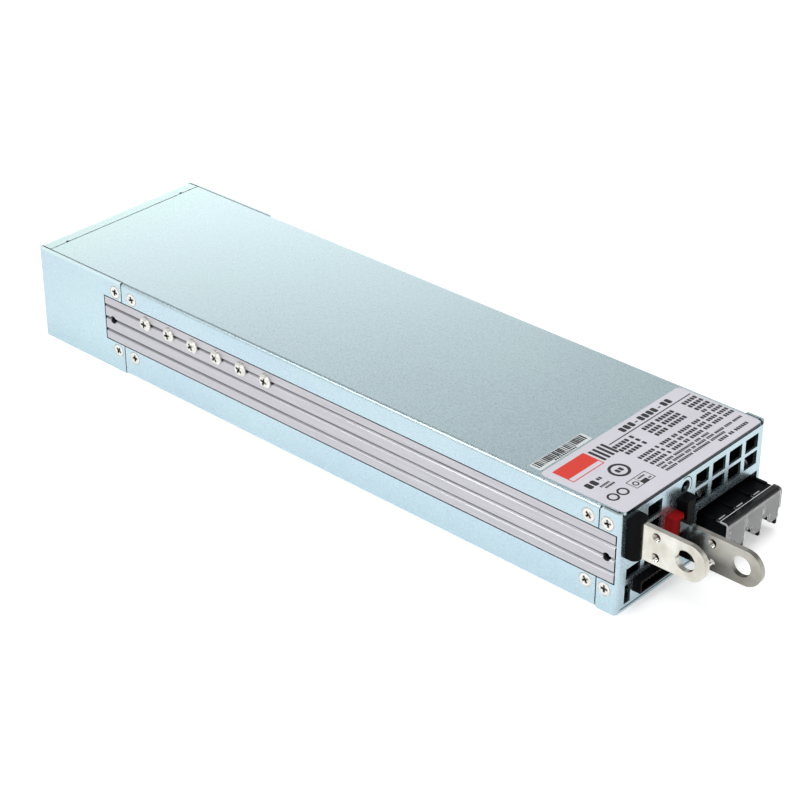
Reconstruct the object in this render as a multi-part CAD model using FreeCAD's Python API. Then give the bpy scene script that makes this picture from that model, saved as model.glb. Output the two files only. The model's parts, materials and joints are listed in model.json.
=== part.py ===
import FreeCAD
import Part
import math
import os
from FreeCAD import Vector

# Enclosed power supply in millimetres: the front faces -Y and the base lies on Z = 0

# Case sheets
CASE_LENGTH = 300.0
CASE_WIDTH = 85.0
CASE_HEIGHT = 41.0
SHEET = 1.0
INNER_BEND = 0.6
SEAM = 0.5
FRONT_FLANGE = 8.5
FLANGE_CORNER = 1.0
NOSE_CORNER = 1.5
REAR_FLANGE = 50.4
REAR_LIP = 6.0
RELIEF_RADIUS = 0.8
RELIEF_INSET = 10.8

# Side rails
RAIL_TO_REAR = 39.8
BAND_TO_TOP = 9.0
BAND_HEIGHT = 19.0
RAIL_PLATE = 3.0
RAIL_PLATE_MARGIN = 1.6
RAIL_FIT = 0.05
GROOVE_PITCH = 5.5
GROOVE_WIDTH = 1.6
GROOVE_DEPTH = 0.9
RAIL_MOUNT_FRONT = 5.0
RAIL_MOUNT_REAR = 44.7
RAIL_TAP_RADIUS = 1.65

# Flat screws that hold the sheets to the rails
FLAT_HEAD_RADIUS = 2.75
SCREW_RADIUS = 1.5
SCREW_FIT = 0.05
SCREW_ABOVE_BAND = 3.7
SCREW_BELOW_BAND = 3.8
SCREWS_TO_FRONT = (5.2, 13.4)
SCREWS_TO_REAR = (46.7, 56.5)
RECESS_WIDTH = 0.8
RECESS_DEPTH = 0.9

# Power transistors clamped to the rails by pan screws and nuts
TRANSISTOR_COUNT = 6
TRANSISTOR_PITCH = 13.5
TRANSISTOR_TO_REAR = 64.6
TRANSISTOR_WIDTH = 10.2
TRANSISTOR_TAB = 1.3
TRANSISTOR_TAB_HEIGHT = 6.4
TRANSISTOR_BODY = 4.4
TRANSISTOR_BODY_HEIGHT = 9.2
LEAD_WIDTH = 0.9
LEAD_THICKNESS = 0.6
LEAD_PITCH = 2.54
PAD = 0.4
PAD_MARGIN = 2.0
PAN_HEAD_RADIUS = 3.0
PAN_HEAD_HEIGHT = 1.3
NUT_RADIUS = 3.1
NUT_HEIGHT = 2.2
NUT_SIDES = 6

# Front vents
VENT_COLUMNS = 4
VENT_ROWS = 2
VENT_POST = 2.2
VENT_BAR = 1.4
VENT_TO_TOP = 3.8
VENT_TO_RIGHT = 4.0
VENT_TO_PARTITION = 4.6
VENT_ABOVE_TERMINALS = 3.6
LEFT_VENT_WIDTH = 8.0
LEFT_VENT_TO_SIDE = 15.7
LOW_VENT_TO_SIDE = 5.1
LOW_VENT_BASE = 12.6
LOW_VENT_HEIGHT = 4.3
LOW_VENT_COUNT = 2
TALL_VENT_TO_SIDE = 4.7
TALL_VENT_WIDTH = 3.4
TALL_VENT_BASE = 2.6
TALL_VENT_HEIGHT = 7.6

# Output bars: upright plates with round noses
BAR_THICKNESS = 2.0
BAR_HEIGHT = 14.0
BAR_HOLE_RADIUS = 4.0
BAR_NOSE = 1.5
BAR_TAP_RADIUS = 1.65
BAR_TAP_SPACING = 8.0
BAR_INSIDE = 22.0
BAR_FOOT = 12.0
BAR_FIT = 0.1
NEGATIVE_TO_SIDE = 6.2
NEGATIVE_TO_TOP = 10.8
NEGATIVE_TAPS_OUT = 10.6
NEGATIVE_HOLE_OUT = 22.5
NEGATIVE_SLEEVE = 7.2
POSITIVE_TO_SIDE = 28.3
POSITIVE_MIDDLE = 20.4
POSITIVE_TAPS_OUT = 18.4
POSITIVE_HOLE_OUT = 30.3
POSITIVE_SLEEVE = 6.0

# Insulating blocks round the bars and between the bars and the input
INSULATOR_OUT = 4.6
INSULATOR_WALL = 0.8
INSULATOR_ROUND = 2.4
PLUG_WALL = 1.0
PLUG_BEHIND = 1.5
PLUG_FIT = 0.15
PARTITION_TO_SIDE = 32.4
PARTITION_WIDTH = 6.2
PARTITION_BASE = 13.0
PARTITION_TO_TOP = 8.4
PARTITION_ROUND = 2.2

# Input terminal block and its flip-up clear cover
TERMINAL_POLES = 3
TERMINAL_PITCH = 10.6
TERMINAL_EAR = 0.6
TERMINAL_WALL = 1.2
TERMINAL_ROOF = 1.8
TERMINAL_TO_SIDE = 3.1
TERMINAL_BASE = 3.0
TERMINAL_TOP = 17.6
TERMINAL_OUT = 10.3
TERMINAL_IN = 7.5
TERMINAL_BAY = 6.5
TERMINAL_FIT = 0.4
TERMINAL_CHAMFER = 0.8
TERMINAL_GAP_ABOVE = 3.2
TERMINAL_GAP_LEFT = 3.4
RIB_WIDTH = 1.2
RIB_HEIGHT = 0.5
RIB_LENGTH = 5.0
CLAMP_THICKNESS = 1.0
CLAMP_WIDTH = 7.4
CLAMP_HEIGHT = 9.0
CLAMP_BASE = 4.6
TERMINAL_SCREW_RADIUS = 1.7
TERMINAL_HEAD_RADIUS = 3.1
TERMINAL_HEAD_HEIGHT = 2.4
TERMINAL_SCREW_LENGTH = 5.0
HINGE_OUT = 6.5
HINGE_RADIUS = 1.0
HINGE_FIT = 0.06
KNUCKLE_LENGTH = 3.5
KNUCKLE_OFFSET = 3.4
KNUCKLE_SIDE_GAP = 0.4
COVER_THICKNESS = 0.85
COVER_BEND = 1.6
COVER_GAP = 0.2
COVER_DROP = 12.4
COVER_STEP = 4.1
COVER_SLOT = 0.8
COVER_SLOT_ROOT = 3.0
COVER_TAB = 5.8
COVER_TAB_ROUND = 1.4

# Signal connector
SIGNAL_TO_SIDE = 9.5
SIGNAL_WIDTH = 20.4
SIGNAL_HEIGHT = 5.0
SIGNAL_OUT = 3.3
SIGNAL_DEPTH = 12.0
SIGNAL_CAVITY = 8.0
SIGNAL_WALL = 0.7
SIGNAL_FIT = 0.2
PIN_SIZE = 0.5
PIN_PITCH = 2.0
PIN_COLUMNS = 9
PIN_LENGTH = 6.0

# Output trimmer behind its hole in the front panel
ADJUST_TO_SIDE = 37.0
ADJUST_TO_TOP = 5.8
ADJUST_HOLE_RADIUS = 2.5
TRIMMER_SIZE = 6.4
TRIMMER_DEPTH = 5.0
TRIMMER_GAP = 2.0
TRIMMER_RADIUS = 1.7
TRIMMER_SEAT = 1.6
TRIMMER_PROUD = 0.4
TRIMMER_FIT = 0.06
TRIMMER_SLOT = 0.6
TRIMMER_SLOT_DEPTH = 0.7
ADJUST_BOARD_WIDTH = 11.0
ADJUST_BOARD_TO_TOP = 2.4

# Fans at the rear
FAN_CLEARANCE = 0.1
FAN_DEPTH = 28.0
FAN_FLANGE = 3.5
FAN_WALL = 1.0
FAN_CORNER = 3.0
FAN_HOLE_INSET = 3.2
FAN_HOLE_RADIUS = 1.9
FAN_HUB_RADIUS = 10.0
FAN_CUP_WALL = 1.2
FAN_CUP_CAP = 1.5
FAN_CUP_INSET = 2.0
FAN_CUP_START = 5.0
FAN_STRUT = 2.0
FAN_STRUTS = 4
SHAFT_RADIUS = 1.0
SHAFT_FIT = 0.05
BOSS_RADIUS = 3.0
BOSS_LENGTH = 19.0
STATOR_GAP = 0.6
STATOR_START = 6.0
STATOR_LENGTH = 11.0
STATOR_POLES = 4
STATOR_SLOT = 2.0
BLADE_COUNT = 7
BLADE_TIP_GAP = 0.7
BLADE_THICKNESS = 0.9
BLADE_CAMBER = 1.3
BLADE_SINK = 1.0
BLADE_ROOT_CHORD = 12.0
BLADE_TIP_CHORD = 16.5
BLADE_ROOT_ANGLE = 52.0
BLADE_TIP_ANGLE = 36.0
GUARD_RINGS = 4
GUARD_BAR = 1.3
GUARD_RIM = 0.3
GUARD_HUB = 3.4
GUARD_SPOKE = 2.2

# Main board and what stands on it
STANDOFF_RADIUS = 3.0
STANDOFF_HEIGHT = 3.4
STANDOFF_SHANK = 2.2
BOARD = 1.6
BOARD_SIDE_GAP = 1.2
BOARD_FRONT_GAP = 3.0
BOARD_FAN_GAP = 10.0
BOARD_SCREW_INSET = 5.2
BOARD_SCREWS_TO_FRONT = (25.5, 154.0)
BOARD_SCREW_TO_REAR = 52.0
BOARD_HEAD_RADIUS = 2.8
BOARD_HEAD_HEIGHT = 1.9
FILM = 0.4
FILM_MARGIN = 1.5
SEATING = 0.2
OUTPUT_CAN_RADIUS = 6.0
OUTPUT_CAN_HEIGHT = 24.0
OUTPUT_CAN_PITCH = 14.0
OUTPUT_CAN_ROWS = 3
OUTPUT_CAN_COLUMNS = 2
OUTPUT_CAN_TO_FRONT = 34.0
OUTPUT_CAN_TO_SIDE = 22.5
CAN_EDGE = 1.0
CAN_CRIMP = 0.7
CAN_CRIMP_INSET = 4.0
BULK_CAN_LENGTH = 45.0
BULK_CAN_TO_REAR = 46.0
BULK_CAN_GAP = 7.0
BULK_CAN_SIDE_GAP = 2.15
CHOKE_TUBE = 5.0
OUTPUT_CHOKE_RING = 11.0
OUTPUT_CHOKE_TO_FRONT = 92.0
OUTPUT_CHOKE_TO_SIDE = 26.5
BOOST_CHOKE_RING = 11.0
BOOST_CHOKE_TO_FRONT = 106.0
LINE_CHOKE_RING = 9.0
LINE_CHOKE_TO_FRONT = 43.0
INPUT_LANE_TO_SIDE = 20.5
CORE_LENGTH = 28.0
CORE_WIDTH = 32.0
CORE_PLATE = 5.0
CORE_WINDOW = 15.0
CORE_LEG = 5.5
BOBBIN_BASE = 2.0
BOBBIN_MARGIN = 2.0
WINDING_RADIUS = 10.2
CORE_TO_FRONT = 134.0
CORE_TO_SIDE = 27.0
BOX_CAP_LENGTH = 26.0
BOX_CAP_DEPTH = 11.0
BOX_CAP_HEIGHT = 20.0
BOX_CAP_EDGE = 1.2
BOX_CAP_PITCH = 17.0
BOX_CAP_COUNT = 2
BOX_CAP_TO_FRONT = 64.0
CONTROL_BOARD_TO_FRONT = 156.0
CONTROL_BOARD_LENGTH = 40.0
CONTROL_BOARD_HEIGHT = 28.0
FUSE_RADIUS = 2.6
FUSE_LENGTH = 20.0
FUSE_TO_FRONT = 18.0
FUSE_CLIP_WIDTH = 4.0
FUSE_CLIP_WALL = 0.6

# Stickers on the top cover
LABEL = 0.1
LABEL_WIDTH = 80.6
LABEL_DEPTH = 36.6
LABEL_CORNER = 2.0
LABEL_INSET = 0.1
TAG_LENGTH = 29.0
TAG_DEPTH = 5.2
TAG_TO_SIDE = 4.0
TAG_TO_FRONT = 37.5
TAG_CORNER = 0.6

# Planes and sizes worked out from the values above
HALF = CASE_WIDTH / 2
FRONT = -CASE_LENGTH / 2
REAR = CASE_LENGTH / 2
BEND = INNER_BEND + SHEET
FLAT_HALF = HALF - BEND
BAND_TOP = CASE_HEIGHT - BAND_TO_TOP
BAND_BOTTOM = BAND_TOP - BAND_HEIGHT
BAND_MIDDLE = BAND_BOTTOM + BAND_HEIGHT / 2
RAIL_OUTER = HALF - SHEET - RAIL_FIT
RAIL_INNER = RAIL_OUTER - RAIL_PLATE
RAIL_FRONT = FRONT + SHEET + SEAM
RAIL_REAR = REAR - RAIL_TO_REAR - SEAM
FLAT_HEAD_HEIGHT = FLAT_HEAD_RADIUS - SCREW_RADIUS
SCREW_LENGTH = SHEET + RAIL_FIT + RAIL_PLATE
TRANSISTOR_Z = BAND_MIDDLE + GROOVE_PITCH
BOARD_BASE = SHEET + STANDOFF_HEIGHT
BOARD_TOP = BOARD_BASE + BOARD
BOARD_HALF = RAIL_INNER - BOARD_SIDE_GAP
BOARD_FRONT = FRONT + SHEET + BOARD_FRONT_GAP
FAN_BY_HEIGHT = CASE_HEIGHT - 2 * (BEND + FAN_CLEARANCE)
FAN_BY_WIDTH = HALF - SHEET - 2 * (INNER_BEND + FAN_CLEARANCE)
FAN_SIZE = min(FAN_BY_HEIGHT, FAN_BY_WIDTH)
FAN_X = (HALF - SHEET) / 2
FAN_Z = CASE_HEIGHT / 2
FAN_START = REAR - SHEET - FAN_DEPTH
FAN_DUCT_RADIUS = FAN_SIZE / 2 - FAN_WALL
FAN_HOLE_OFFSET = FAN_SIZE / 2 - FAN_HOLE_INSET
BLADE_TIP_RADIUS = FAN_DUCT_RADIUS - BLADE_TIP_GAP
GUARD_OPEN = FAN_DUCT_RADIUS - GUARD_RIM - GUARD_HUB - (GUARD_RINGS - 1) * GUARD_BAR
GUARD_SLOT = GUARD_OPEN / GUARD_RINGS
BOARD_REAR = FAN_START - BOARD_FAN_GAP
TERMINAL_WIDTH = TERMINAL_POLES * TERMINAL_PITCH + 2 * TERMINAL_EAR
TERMINAL_X = HALF - TERMINAL_TO_SIDE - TERMINAL_WIDTH / 2
HINGE_Y = FRONT - HINGE_OUT
HINGE_Z = TERMINAL_TOP
ADJUST_X = -HALF + ADJUST_TO_SIDE
ADJUST_Z = CASE_HEIGHT - ADJUST_TO_TOP
TRIMMER_FACE = FRONT + SHEET + TRIMMER_GAP
INPUT_LANE_X = HALF - INPUT_LANE_TO_SIDE
NEGATIVE_MIDDLE = CASE_HEIGHT - NEGATIVE_TO_TOP
PARTITION_X = -HALF + PARTITION_TO_SIDE
PARTITION_TOP = CASE_HEIGHT - PARTITION_TO_TOP
TERMINAL_OPENING_TOP = TERMINAL_TOP + TERMINAL_GAP_ABOVE
VENT_RIGHT = HALF - VENT_TO_RIGHT
VENT_LEFT = PARTITION_X + PARTITION_WIDTH + VENT_TO_PARTITION
VENT_WIDTH = (VENT_RIGHT - VENT_LEFT - (VENT_COLUMNS - 1) * VENT_POST) / VENT_COLUMNS
VENT_TOP = CASE_HEIGHT - VENT_TO_TOP
VENT_BASE = TERMINAL_OPENING_TOP + VENT_ABOVE_TERMINALS
VENT_HEIGHT = (VENT_TOP - VENT_BASE - (VENT_ROWS - 1) * VENT_BAR) / VENT_ROWS
VENT_PITCH_X = VENT_WIDTH + VENT_POST
VENT_PITCH_Z = VENT_HEIGHT + VENT_BAR
BULK_LANE = RAIL_INNER - PAD - TRANSISTOR_BODY - BULK_CAN_SIDE_GAP
BULK_CAN_RADIUS = (BULK_LANE - BULK_CAN_GAP / 2) / 2
BULK_CAN_SPACING = 2 * BULK_CAN_RADIUS + BULK_CAN_GAP

X_AXIS = Vector(1, 0, 0)
Y_AXIS = Vector(0, 1, 0)
Z_AXIS = Vector(0, 0, 1)
ORIGIN = Vector(0, 0, 0)
FULL_TURN = 360.0
EAST = 0.0
NORTH = FULL_TURN / 4
WEST = FULL_TURN / 2
SOUTH = NORTH + WEST
PAST = 1.0
ARC_MIDDLE = math.sqrt(0.5)


# Small shape helpers

def box(x0, x1, y0, y1, z0, z1):
    """Block between two corners."""
    return Part.makeBox(x1 - x0, y1 - y0, z1 - z0, Vector(x0, y0, z0))


def rod(x, y, z, radius, length, axis):
    """Cylinder that starts at a point and runs along an axis."""
    return Part.makeCylinder(radius, length, Vector(x, y, z), axis)


def mirrored(shape):
    """The same shape on the other side of the case."""
    return shape.mirror(ORIGIN, X_AXIS)


def both_sides(shape):
    return [shape, mirrored(shape)]


def joined(first, others):
    return first.fuse(others).removeSplitter()


def group(shapes):
    return Part.makeCompound(shapes)


def turned(shape, angle, axis, centre=ORIGIN):
    copy = shape.copy()
    copy.rotate(centre, axis, angle)
    return copy


def moved(shape, x, y, z):
    copy = shape.copy()
    copy.translate(Vector(x, y, z))
    return copy


def seated(shape, point, out, turn=0.0):
    """Turns a shape made along +Z so that it points out of a face at a point."""
    copy = turned(shape, turn, Z_AXIS)
    copy.Placement = FreeCAD.Placement(point, FreeCAD.Rotation(Z_AXIS, out)).multiply(copy.Placement)
    return copy


def in_xz(y):
    return lambda u, v: Vector(u, y, v)


def in_xy(z):
    return lambda u, v: Vector(u, v, z)


def in_yz(x):
    return lambda u, v: Vector(x, u, v)


class Outline:
    """Closed run of lines and arcs in a plane."""

    def __init__(self, plane, u, v):
        self.plane = plane
        self.first = plane(u, v)
        self.last = self.first
        self.edges = []

    def line(self, u, v):
        end = self.plane(u, v)
        self.edges.append(Part.makeLine(self.last, end))
        self.last = end
        return self

    def arc(self, middle, end):
        finish = self.plane(*end)
        self.edges.append(Part.Arc(self.last, self.plane(*middle), finish).toShape())
        self.last = finish
        return self

    def round_corner(self, centre, radius, start, end):
        """Arc about a centre, between two angles in degrees."""
        half = math.radians((start + end) / 2)
        stop = math.radians(end)
        middle = (centre[0] + radius * math.cos(half), centre[1] + radius * math.sin(half))
        finish = (centre[0] + radius * math.cos(stop), centre[1] + radius * math.sin(stop))
        return self.arc(middle, finish)

    def solid(self, travel):
        self.edges.append(Part.makeLine(self.last, self.first))
        return Part.Face(Part.Wire(self.edges)).extrude(travel)


def rounded_block(plane, u0, u1, v0, v1, radius, travel):
    """Rectangle with four round corners, drawn out along travel."""
    outline = Outline(plane, u0 + radius, v0)
    outline.line(u1 - radius, v0)
    outline.round_corner((u1 - radius, v0 + radius), radius, SOUTH - FULL_TURN, EAST)
    outline.line(u1, v1 - radius)
    outline.round_corner((u1 - radius, v1 - radius), radius, EAST, NORTH)
    outline.line(u0 + radius, v1)
    outline.round_corner((u0 + radius, v1 - radius), radius, NORTH, WEST)
    outline.line(u0, v0 + radius)
    outline.round_corner((u0 + radius, v0 + radius), radius, WEST, SOUTH)
    outline.edges = [edge for edge in outline.edges if edge.Length > 0]
    return Part.Face(Part.Wire(outline.edges)).extrude(travel)


def channel(plane, half, leg, travel):
    """Bent sheet: a base of the given half width with two legs, drawn out along travel."""
    outline = Outline(plane, -half, leg)
    outline.line(-half, BEND)
    outline.round_corner((-half + BEND, BEND), BEND, WEST, SOUTH)
    outline.line(half - BEND, 0)
    outline.round_corner((half - BEND, BEND), BEND, SOUTH, FULL_TURN)
    outline.line(half, leg)
    outline.line(half - SHEET, leg)
    outline.line(half - SHEET, BEND)
    outline.round_corner((half - BEND, BEND), INNER_BEND, FULL_TURN, SOUTH)
    outline.line(-half + BEND, SHEET)
    outline.round_corner((-half + BEND, BEND), INNER_BEND, SOUTH, WEST)
    outline.line(-half + SHEET, leg)
    return outline.solid(travel)


# Screws, made along +Z

def cross_recess(span):
    bar = box(-span / 2, span / 2, -RECESS_WIDTH / 2, RECESS_WIDTH / 2, -RECESS_DEPTH, PAST)
    return bar.fuse(turned(bar, FULL_TURN / 4, Z_AXIS))


def flat_screw(length):
    """Countersunk screw with its face at Z = 0."""
    head = Part.makeCone(SCREW_RADIUS, FLAT_HEAD_RADIUS, FLAT_HEAD_HEIGHT, Vector(0, 0, -FLAT_HEAD_HEIGHT))
    shank = rod(0, 0, -length, SCREW_RADIUS, length - FLAT_HEAD_HEIGHT, Z_AXIS)
    return joined(head, [shank]).cut(cross_recess(FLAT_HEAD_RADIUS + SCREW_FIT))


def flat_screw_hole(length):
    """Countersunk hole that takes a flat screw with its working clearance."""
    rim = FLAT_HEAD_RADIUS + SCREW_FIT
    depth = FLAT_HEAD_HEIGHT
    cone = Part.makeCone(SCREW_RADIUS + SCREW_FIT, rim, depth, Vector(0, 0, -depth))
    mouth = rod(0, 0, 0, rim, PAST, Z_AXIS)
    bore = rod(0, 0, -length - PAST, SCREW_RADIUS + SCREW_FIT, length + PAST, Z_AXIS)
    return cone.fuse([mouth, bore])


def pan_screw(head_radius, head_height, shank_radius, length):
    """Pan head screw with the underside of its head at Z = 0."""
    rim = rod(0, 0, 0, head_radius, head_height / 2, Z_AXIS)
    dome_base = Vector(0, 0, head_height / 2)
    dome = Part.makeCone(head_radius, head_radius * ARC_MIDDLE, head_height / 2, dome_base)
    shank = rod(0, 0, -length, shank_radius, length, Z_AXIS)
    recess = moved(cross_recess(head_radius), 0, 0, head_height)
    return joined(rim, [dome, shank]).cut(recess)


def hex_nut(hole_radius):
    corners = []
    for i in range(NUT_SIDES):
        angle = math.radians(FULL_TURN * i / NUT_SIDES)
        corners.append(Vector(NUT_RADIUS * math.cos(angle), NUT_RADIUS * math.sin(angle), 0))
    blank = Part.Face(Part.makePolygon(corners + corners[:1])).extrude(Vector(0, 0, NUT_HEIGHT))
    return blank.cut(rod(0, 0, -PAST, hole_radius, NUT_HEIGHT + 2 * PAST, Z_AXIS))


# Places of fasteners

def case_screw_points():
    """Face points of the flat screws on the right side."""
    lengthwise = [FRONT + d for d in SCREWS_TO_FRONT] + [REAR - d for d in SCREWS_TO_REAR]
    heights = (BAND_BOTTOM - SCREW_BELOW_BAND, BAND_TOP + SCREW_ABOVE_BAND)
    return [Vector(HALF, y, z) for y in lengthwise for z in heights]


def transistor_ys():
    return [REAR - TRANSISTOR_TO_REAR - i * TRANSISTOR_PITCH for i in range(TRANSISTOR_COUNT)]


def fan_centres():
    return [Vector(-FAN_X, FAN_START, FAN_Z), Vector(FAN_X, FAN_START, FAN_Z)]


def fan_screw_points():
    points = []
    for centre in fan_centres():
        for dx in (-FAN_HOLE_OFFSET, FAN_HOLE_OFFSET):
            for dz in (-FAN_HOLE_OFFSET, FAN_HOLE_OFFSET):
                points.append(Vector(centre.x + dx, REAR, centre.z + dz))
    return points


def standoff_points():
    across = BOARD_HALF - BOARD_SCREW_INSET
    lengthwise = [FRONT + d for d in BOARD_SCREWS_TO_FRONT] + [REAR - BOARD_SCREW_TO_REAR]
    return [(x, y) for y in lengthwise for x in (-across, across)]


def case_screw_holes():
    hole = flat_screw_hole(SCREW_LENGTH)
    holes = [seated(hole, point, X_AXIS) for point in case_screw_points()]
    return holes + [mirrored(shape) for shape in holes]


# Case sheets

def case_half(leg):
    """Plate between the end caps' flanges with a nose over the front panel and side legs, plate down."""
    start = FRONT + FRONT_FLANGE + SEAM
    stop = REAR - REAR_FLANGE - SEAM
    inner = HALF - SHEET - SEAM
    nose_half = FLAT_HALF - SEAM
    middle = channel(in_xz(start), HALF, leg, Vector(0, stop - start, 0))
    plate = box(-inner, inner, FRONT + BEND + SEAM, REAR - REAR_LIP - SEAM, 0, SHEET)
    nose = rounded_block(in_xy(0), -nose_half, nose_half, FRONT, start, NOSE_CORNER, Vector(0, 0, SHEET))
    return joined(middle, [plate, nose])


def bottom_tray():
    hole = rod(0, 0, -PAST, STANDOFF_SHANK + SCREW_FIT, SHEET + 2 * PAST, Z_AXIS)
    holes = [moved(hole, x, y, 0) for x, y in standoff_points()]
    return case_half(BAND_BOTTOM - SEAM).cut(holes + case_screw_holes())


def top_cover():
    shell = case_half(CASE_HEIGHT - BAND_TOP - SEAM)
    middle = Vector(0, 0, CASE_HEIGHT / 2)
    return shell.mirror(middle, Z_AXIS).cut(case_screw_holes())


def vent_holes():
    holes = []
    for row in range(VENT_ROWS):
        z = VENT_BASE + row * VENT_PITCH_Z
        x = -HALF + LEFT_VENT_TO_SIDE
        holes.append(panel_hole(x, x + LEFT_VENT_WIDTH, z, z + VENT_HEIGHT))
        for column in range(VENT_COLUMNS):
            x = VENT_LEFT + column * VENT_PITCH_X
            holes.append(panel_hole(x, x + VENT_WIDTH, z, z + VENT_HEIGHT))
    for column in range(LOW_VENT_COUNT):
        x = -HALF + LOW_VENT_TO_SIDE + column * (LEFT_VENT_WIDTH + VENT_POST)
        holes.append(panel_hole(x, x + LEFT_VENT_WIDTH, LOW_VENT_BASE, LOW_VENT_BASE + LOW_VENT_HEIGHT))
    x = -HALF + TALL_VENT_TO_SIDE
    holes.append(panel_hole(x, x + TALL_VENT_WIDTH, TALL_VENT_BASE, TALL_VENT_BASE + TALL_VENT_HEIGHT))
    return holes


def panel_hole(x0, x1, z0, z1):
    return box(x0, x1, FRONT - PAST, FRONT + SHEET + PAST, z0, z1)


def rail_notches(y0, y1):
    """Clears the side walls of an end cap round the rails' outer bands."""
    z0 = BAND_BOTTOM - SEAM
    z1 = BAND_TOP + SEAM
    return both_sides(box(FLAT_HALF, HALF + PAST, y0, y1, z0, z1))


def from_front(u, v):
    return Vector(u, FRONT + v, 0)


def front_panel():
    """Vented sheet with two side flanges, lower than the case where the covers' noses lie on it."""
    sheet = channel(from_front, HALF, FRONT_FLANGE, Vector(0, 0, CASE_HEIGHT))
    across = Vector(CASE_WIDTH + 2 * PAST, 0, 0)
    trim = rounded_block(in_yz(-HALF - PAST), FRONT - FRONT_FLANGE, FRONT + FRONT_FLANGE, 0, CASE_HEIGHT,
                         FLANGE_CORNER, across)
    sheet = sheet.common(trim)
    cuts = rail_notches(FRONT + SHEET, FRONT + FRONT_FLANGE + PAST)
    cuts.append(panel_hole(-FLAT_HALF, FLAT_HALF, CASE_HEIGHT - SHEET - SEAM, CASE_HEIGHT + PAST))
    cuts.append(panel_hole(-FLAT_HALF, FLAT_HALF, -PAST, SHEET + SEAM))
    cuts += vent_holes()
    cuts += [panel_slot(*plug) for plug in plugs()]
    block_left = TERMINAL_X - TERMINAL_WIDTH / 2 - TERMINAL_GAP_LEFT
    block_right = TERMINAL_X + TERMINAL_WIDTH / 2 + TERMINAL_FIT
    block_base = TERMINAL_BASE - TERMINAL_FIT
    cuts.append(panel_hole(block_left, block_right, block_base, TERMINAL_OPENING_TOP))
    x = -HALF + SIGNAL_TO_SIDE
    signal_top = BOARD_TOP + SIGNAL_HEIGHT
    cuts.append(panel_hole(x - SIGNAL_FIT, x + SIGNAL_WIDTH + SIGNAL_FIT,
                           BOARD_TOP - SIGNAL_FIT, signal_top + SIGNAL_FIT))
    cuts.append(rod(ADJUST_X, FRONT - PAST, ADJUST_Z, ADJUST_HOLE_RADIUS, SHEET + 2 * PAST, Y_AXIS))
    return sheet.cut(cuts + case_screw_holes())


def guard_slots(centre):
    """Ring slots of a stamped finger guard, parted by four spokes."""
    spoke = box(-FAN_SIZE, FAN_SIZE, -PAST, SHEET + PAST, -GUARD_SPOKE / 2, GUARD_SPOKE / 2)
    cross = [turned(spoke, FULL_TURN / 8, Y_AXIS), turned(spoke, -FULL_TURN / 8, Y_AXIS)]
    slots = []
    for ring in range(GUARD_RINGS):
        inner = GUARD_HUB + ring * (GUARD_SLOT + GUARD_BAR)
        outer = inner + GUARD_SLOT
        disc = rod(0, -PAST, 0, outer, SHEET + 2 * PAST, Y_AXIS)
        core = rod(0, -PAST, 0, inner, SHEET + 2 * PAST, Y_AXIS)
        slots.append(disc.cut([core] + cross))
    return [moved(slot, centre.x, REAR - SHEET, centre.z) for slot in slots]


def from_rear(u, v):
    return Vector(u, REAR - v, 0)


def rear_section(u, v):
    """Plane across the rear wall at the left end of its lips."""
    return Vector(-FLAT_HALF, REAR - v, CASE_HEIGHT / 2 + u)


def rear_panel():
    """Cap with a fan wall, long side flanges and a folded lip above and below."""
    flanges = channel(from_rear, HALF, REAR_FLANGE, Vector(0, 0, CASE_HEIGHT))
    between = box(-FLAT_HALF, FLAT_HALF, FRONT, REAR + PAST, -PAST, CASE_HEIGHT + PAST)
    wall = channel(rear_section, CASE_HEIGHT / 2, REAR_LIP, Vector(2 * FLAT_HALF, 0, 0))
    cap = joined(wall, [flanges.cut(between)])
    cuts = rail_notches(REAR - REAR_FLANGE - PAST, REAR - RAIL_TO_REAR)
    relief_x = HALF - RELIEF_INSET
    cuts += both_sides(rod(relief_x, REAR - REAR_LIP, -PAST, RELIEF_RADIUS, CASE_HEIGHT + 2 * PAST, Z_AXIS))
    for centre in fan_centres():
        cuts += guard_slots(centre)
    hole = flat_screw_hole(SHEET)
    cuts += [seated(hole, point, Y_AXIS) for point in fan_screw_points()]
    return cap.cut(cuts + case_screw_holes())


# Rails and what is clamped to them

def left_rail():
    """Extrusion: a plate behind the sheets with a grooved band that fills the gap between them."""
    outline = Outline(in_xz(RAIL_FRONT), -RAIL_OUTER, RAIL_PLATE_MARGIN)
    outline.line(-RAIL_OUTER, BAND_BOTTOM)
    outline.line(-HALF, BAND_BOTTOM)
    for step in (-1, 0, 1):
        z = BAND_MIDDLE + step * GROOVE_PITCH
        outline.line(-HALF, z - GROOVE_WIDTH / 2)
        outline.line(-HALF + GROOVE_DEPTH, z)
        outline.line(-HALF, z + GROOVE_WIDTH / 2)
    outline.line(-HALF, BAND_TOP)
    outline.line(-RAIL_OUTER, BAND_TOP)
    outline.line(-RAIL_OUTER, CASE_HEIGHT - RAIL_PLATE_MARGIN)
    outline.line(-RAIL_INNER, CASE_HEIGHT - RAIL_PLATE_MARGIN)
    outline.line(-RAIL_INNER, RAIL_PLATE_MARGIN)
    rail = outline.solid(Vector(0, RAIL_REAR - RAIL_FRONT, 0))
    cuts = case_screw_holes() + bend_reliefs()
    for y in (FRONT + RAIL_MOUNT_FRONT, REAR - RAIL_MOUNT_REAR):
        cuts.append(rail_hole(y, BAND_MIDDLE, RAIL_TAP_RADIUS))
    for y in transistor_ys():
        cuts.append(rail_hole(y, TRANSISTOR_Z, SCREW_RADIUS + SCREW_FIT))
    return rail.cut(cuts)


def bend_reliefs():
    """Clears the rail's front corners from the inside of the front panel's bend."""
    inner = -HALF + BEND + SEAM
    back = FRONT + BEND + SEAM
    below = box(-HALF - PAST, inner, FRONT, back, 0, BAND_BOTTOM)
    above = box(-HALF - PAST, inner, FRONT, back, BAND_TOP, CASE_HEIGHT)
    return [below, above]


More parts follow.
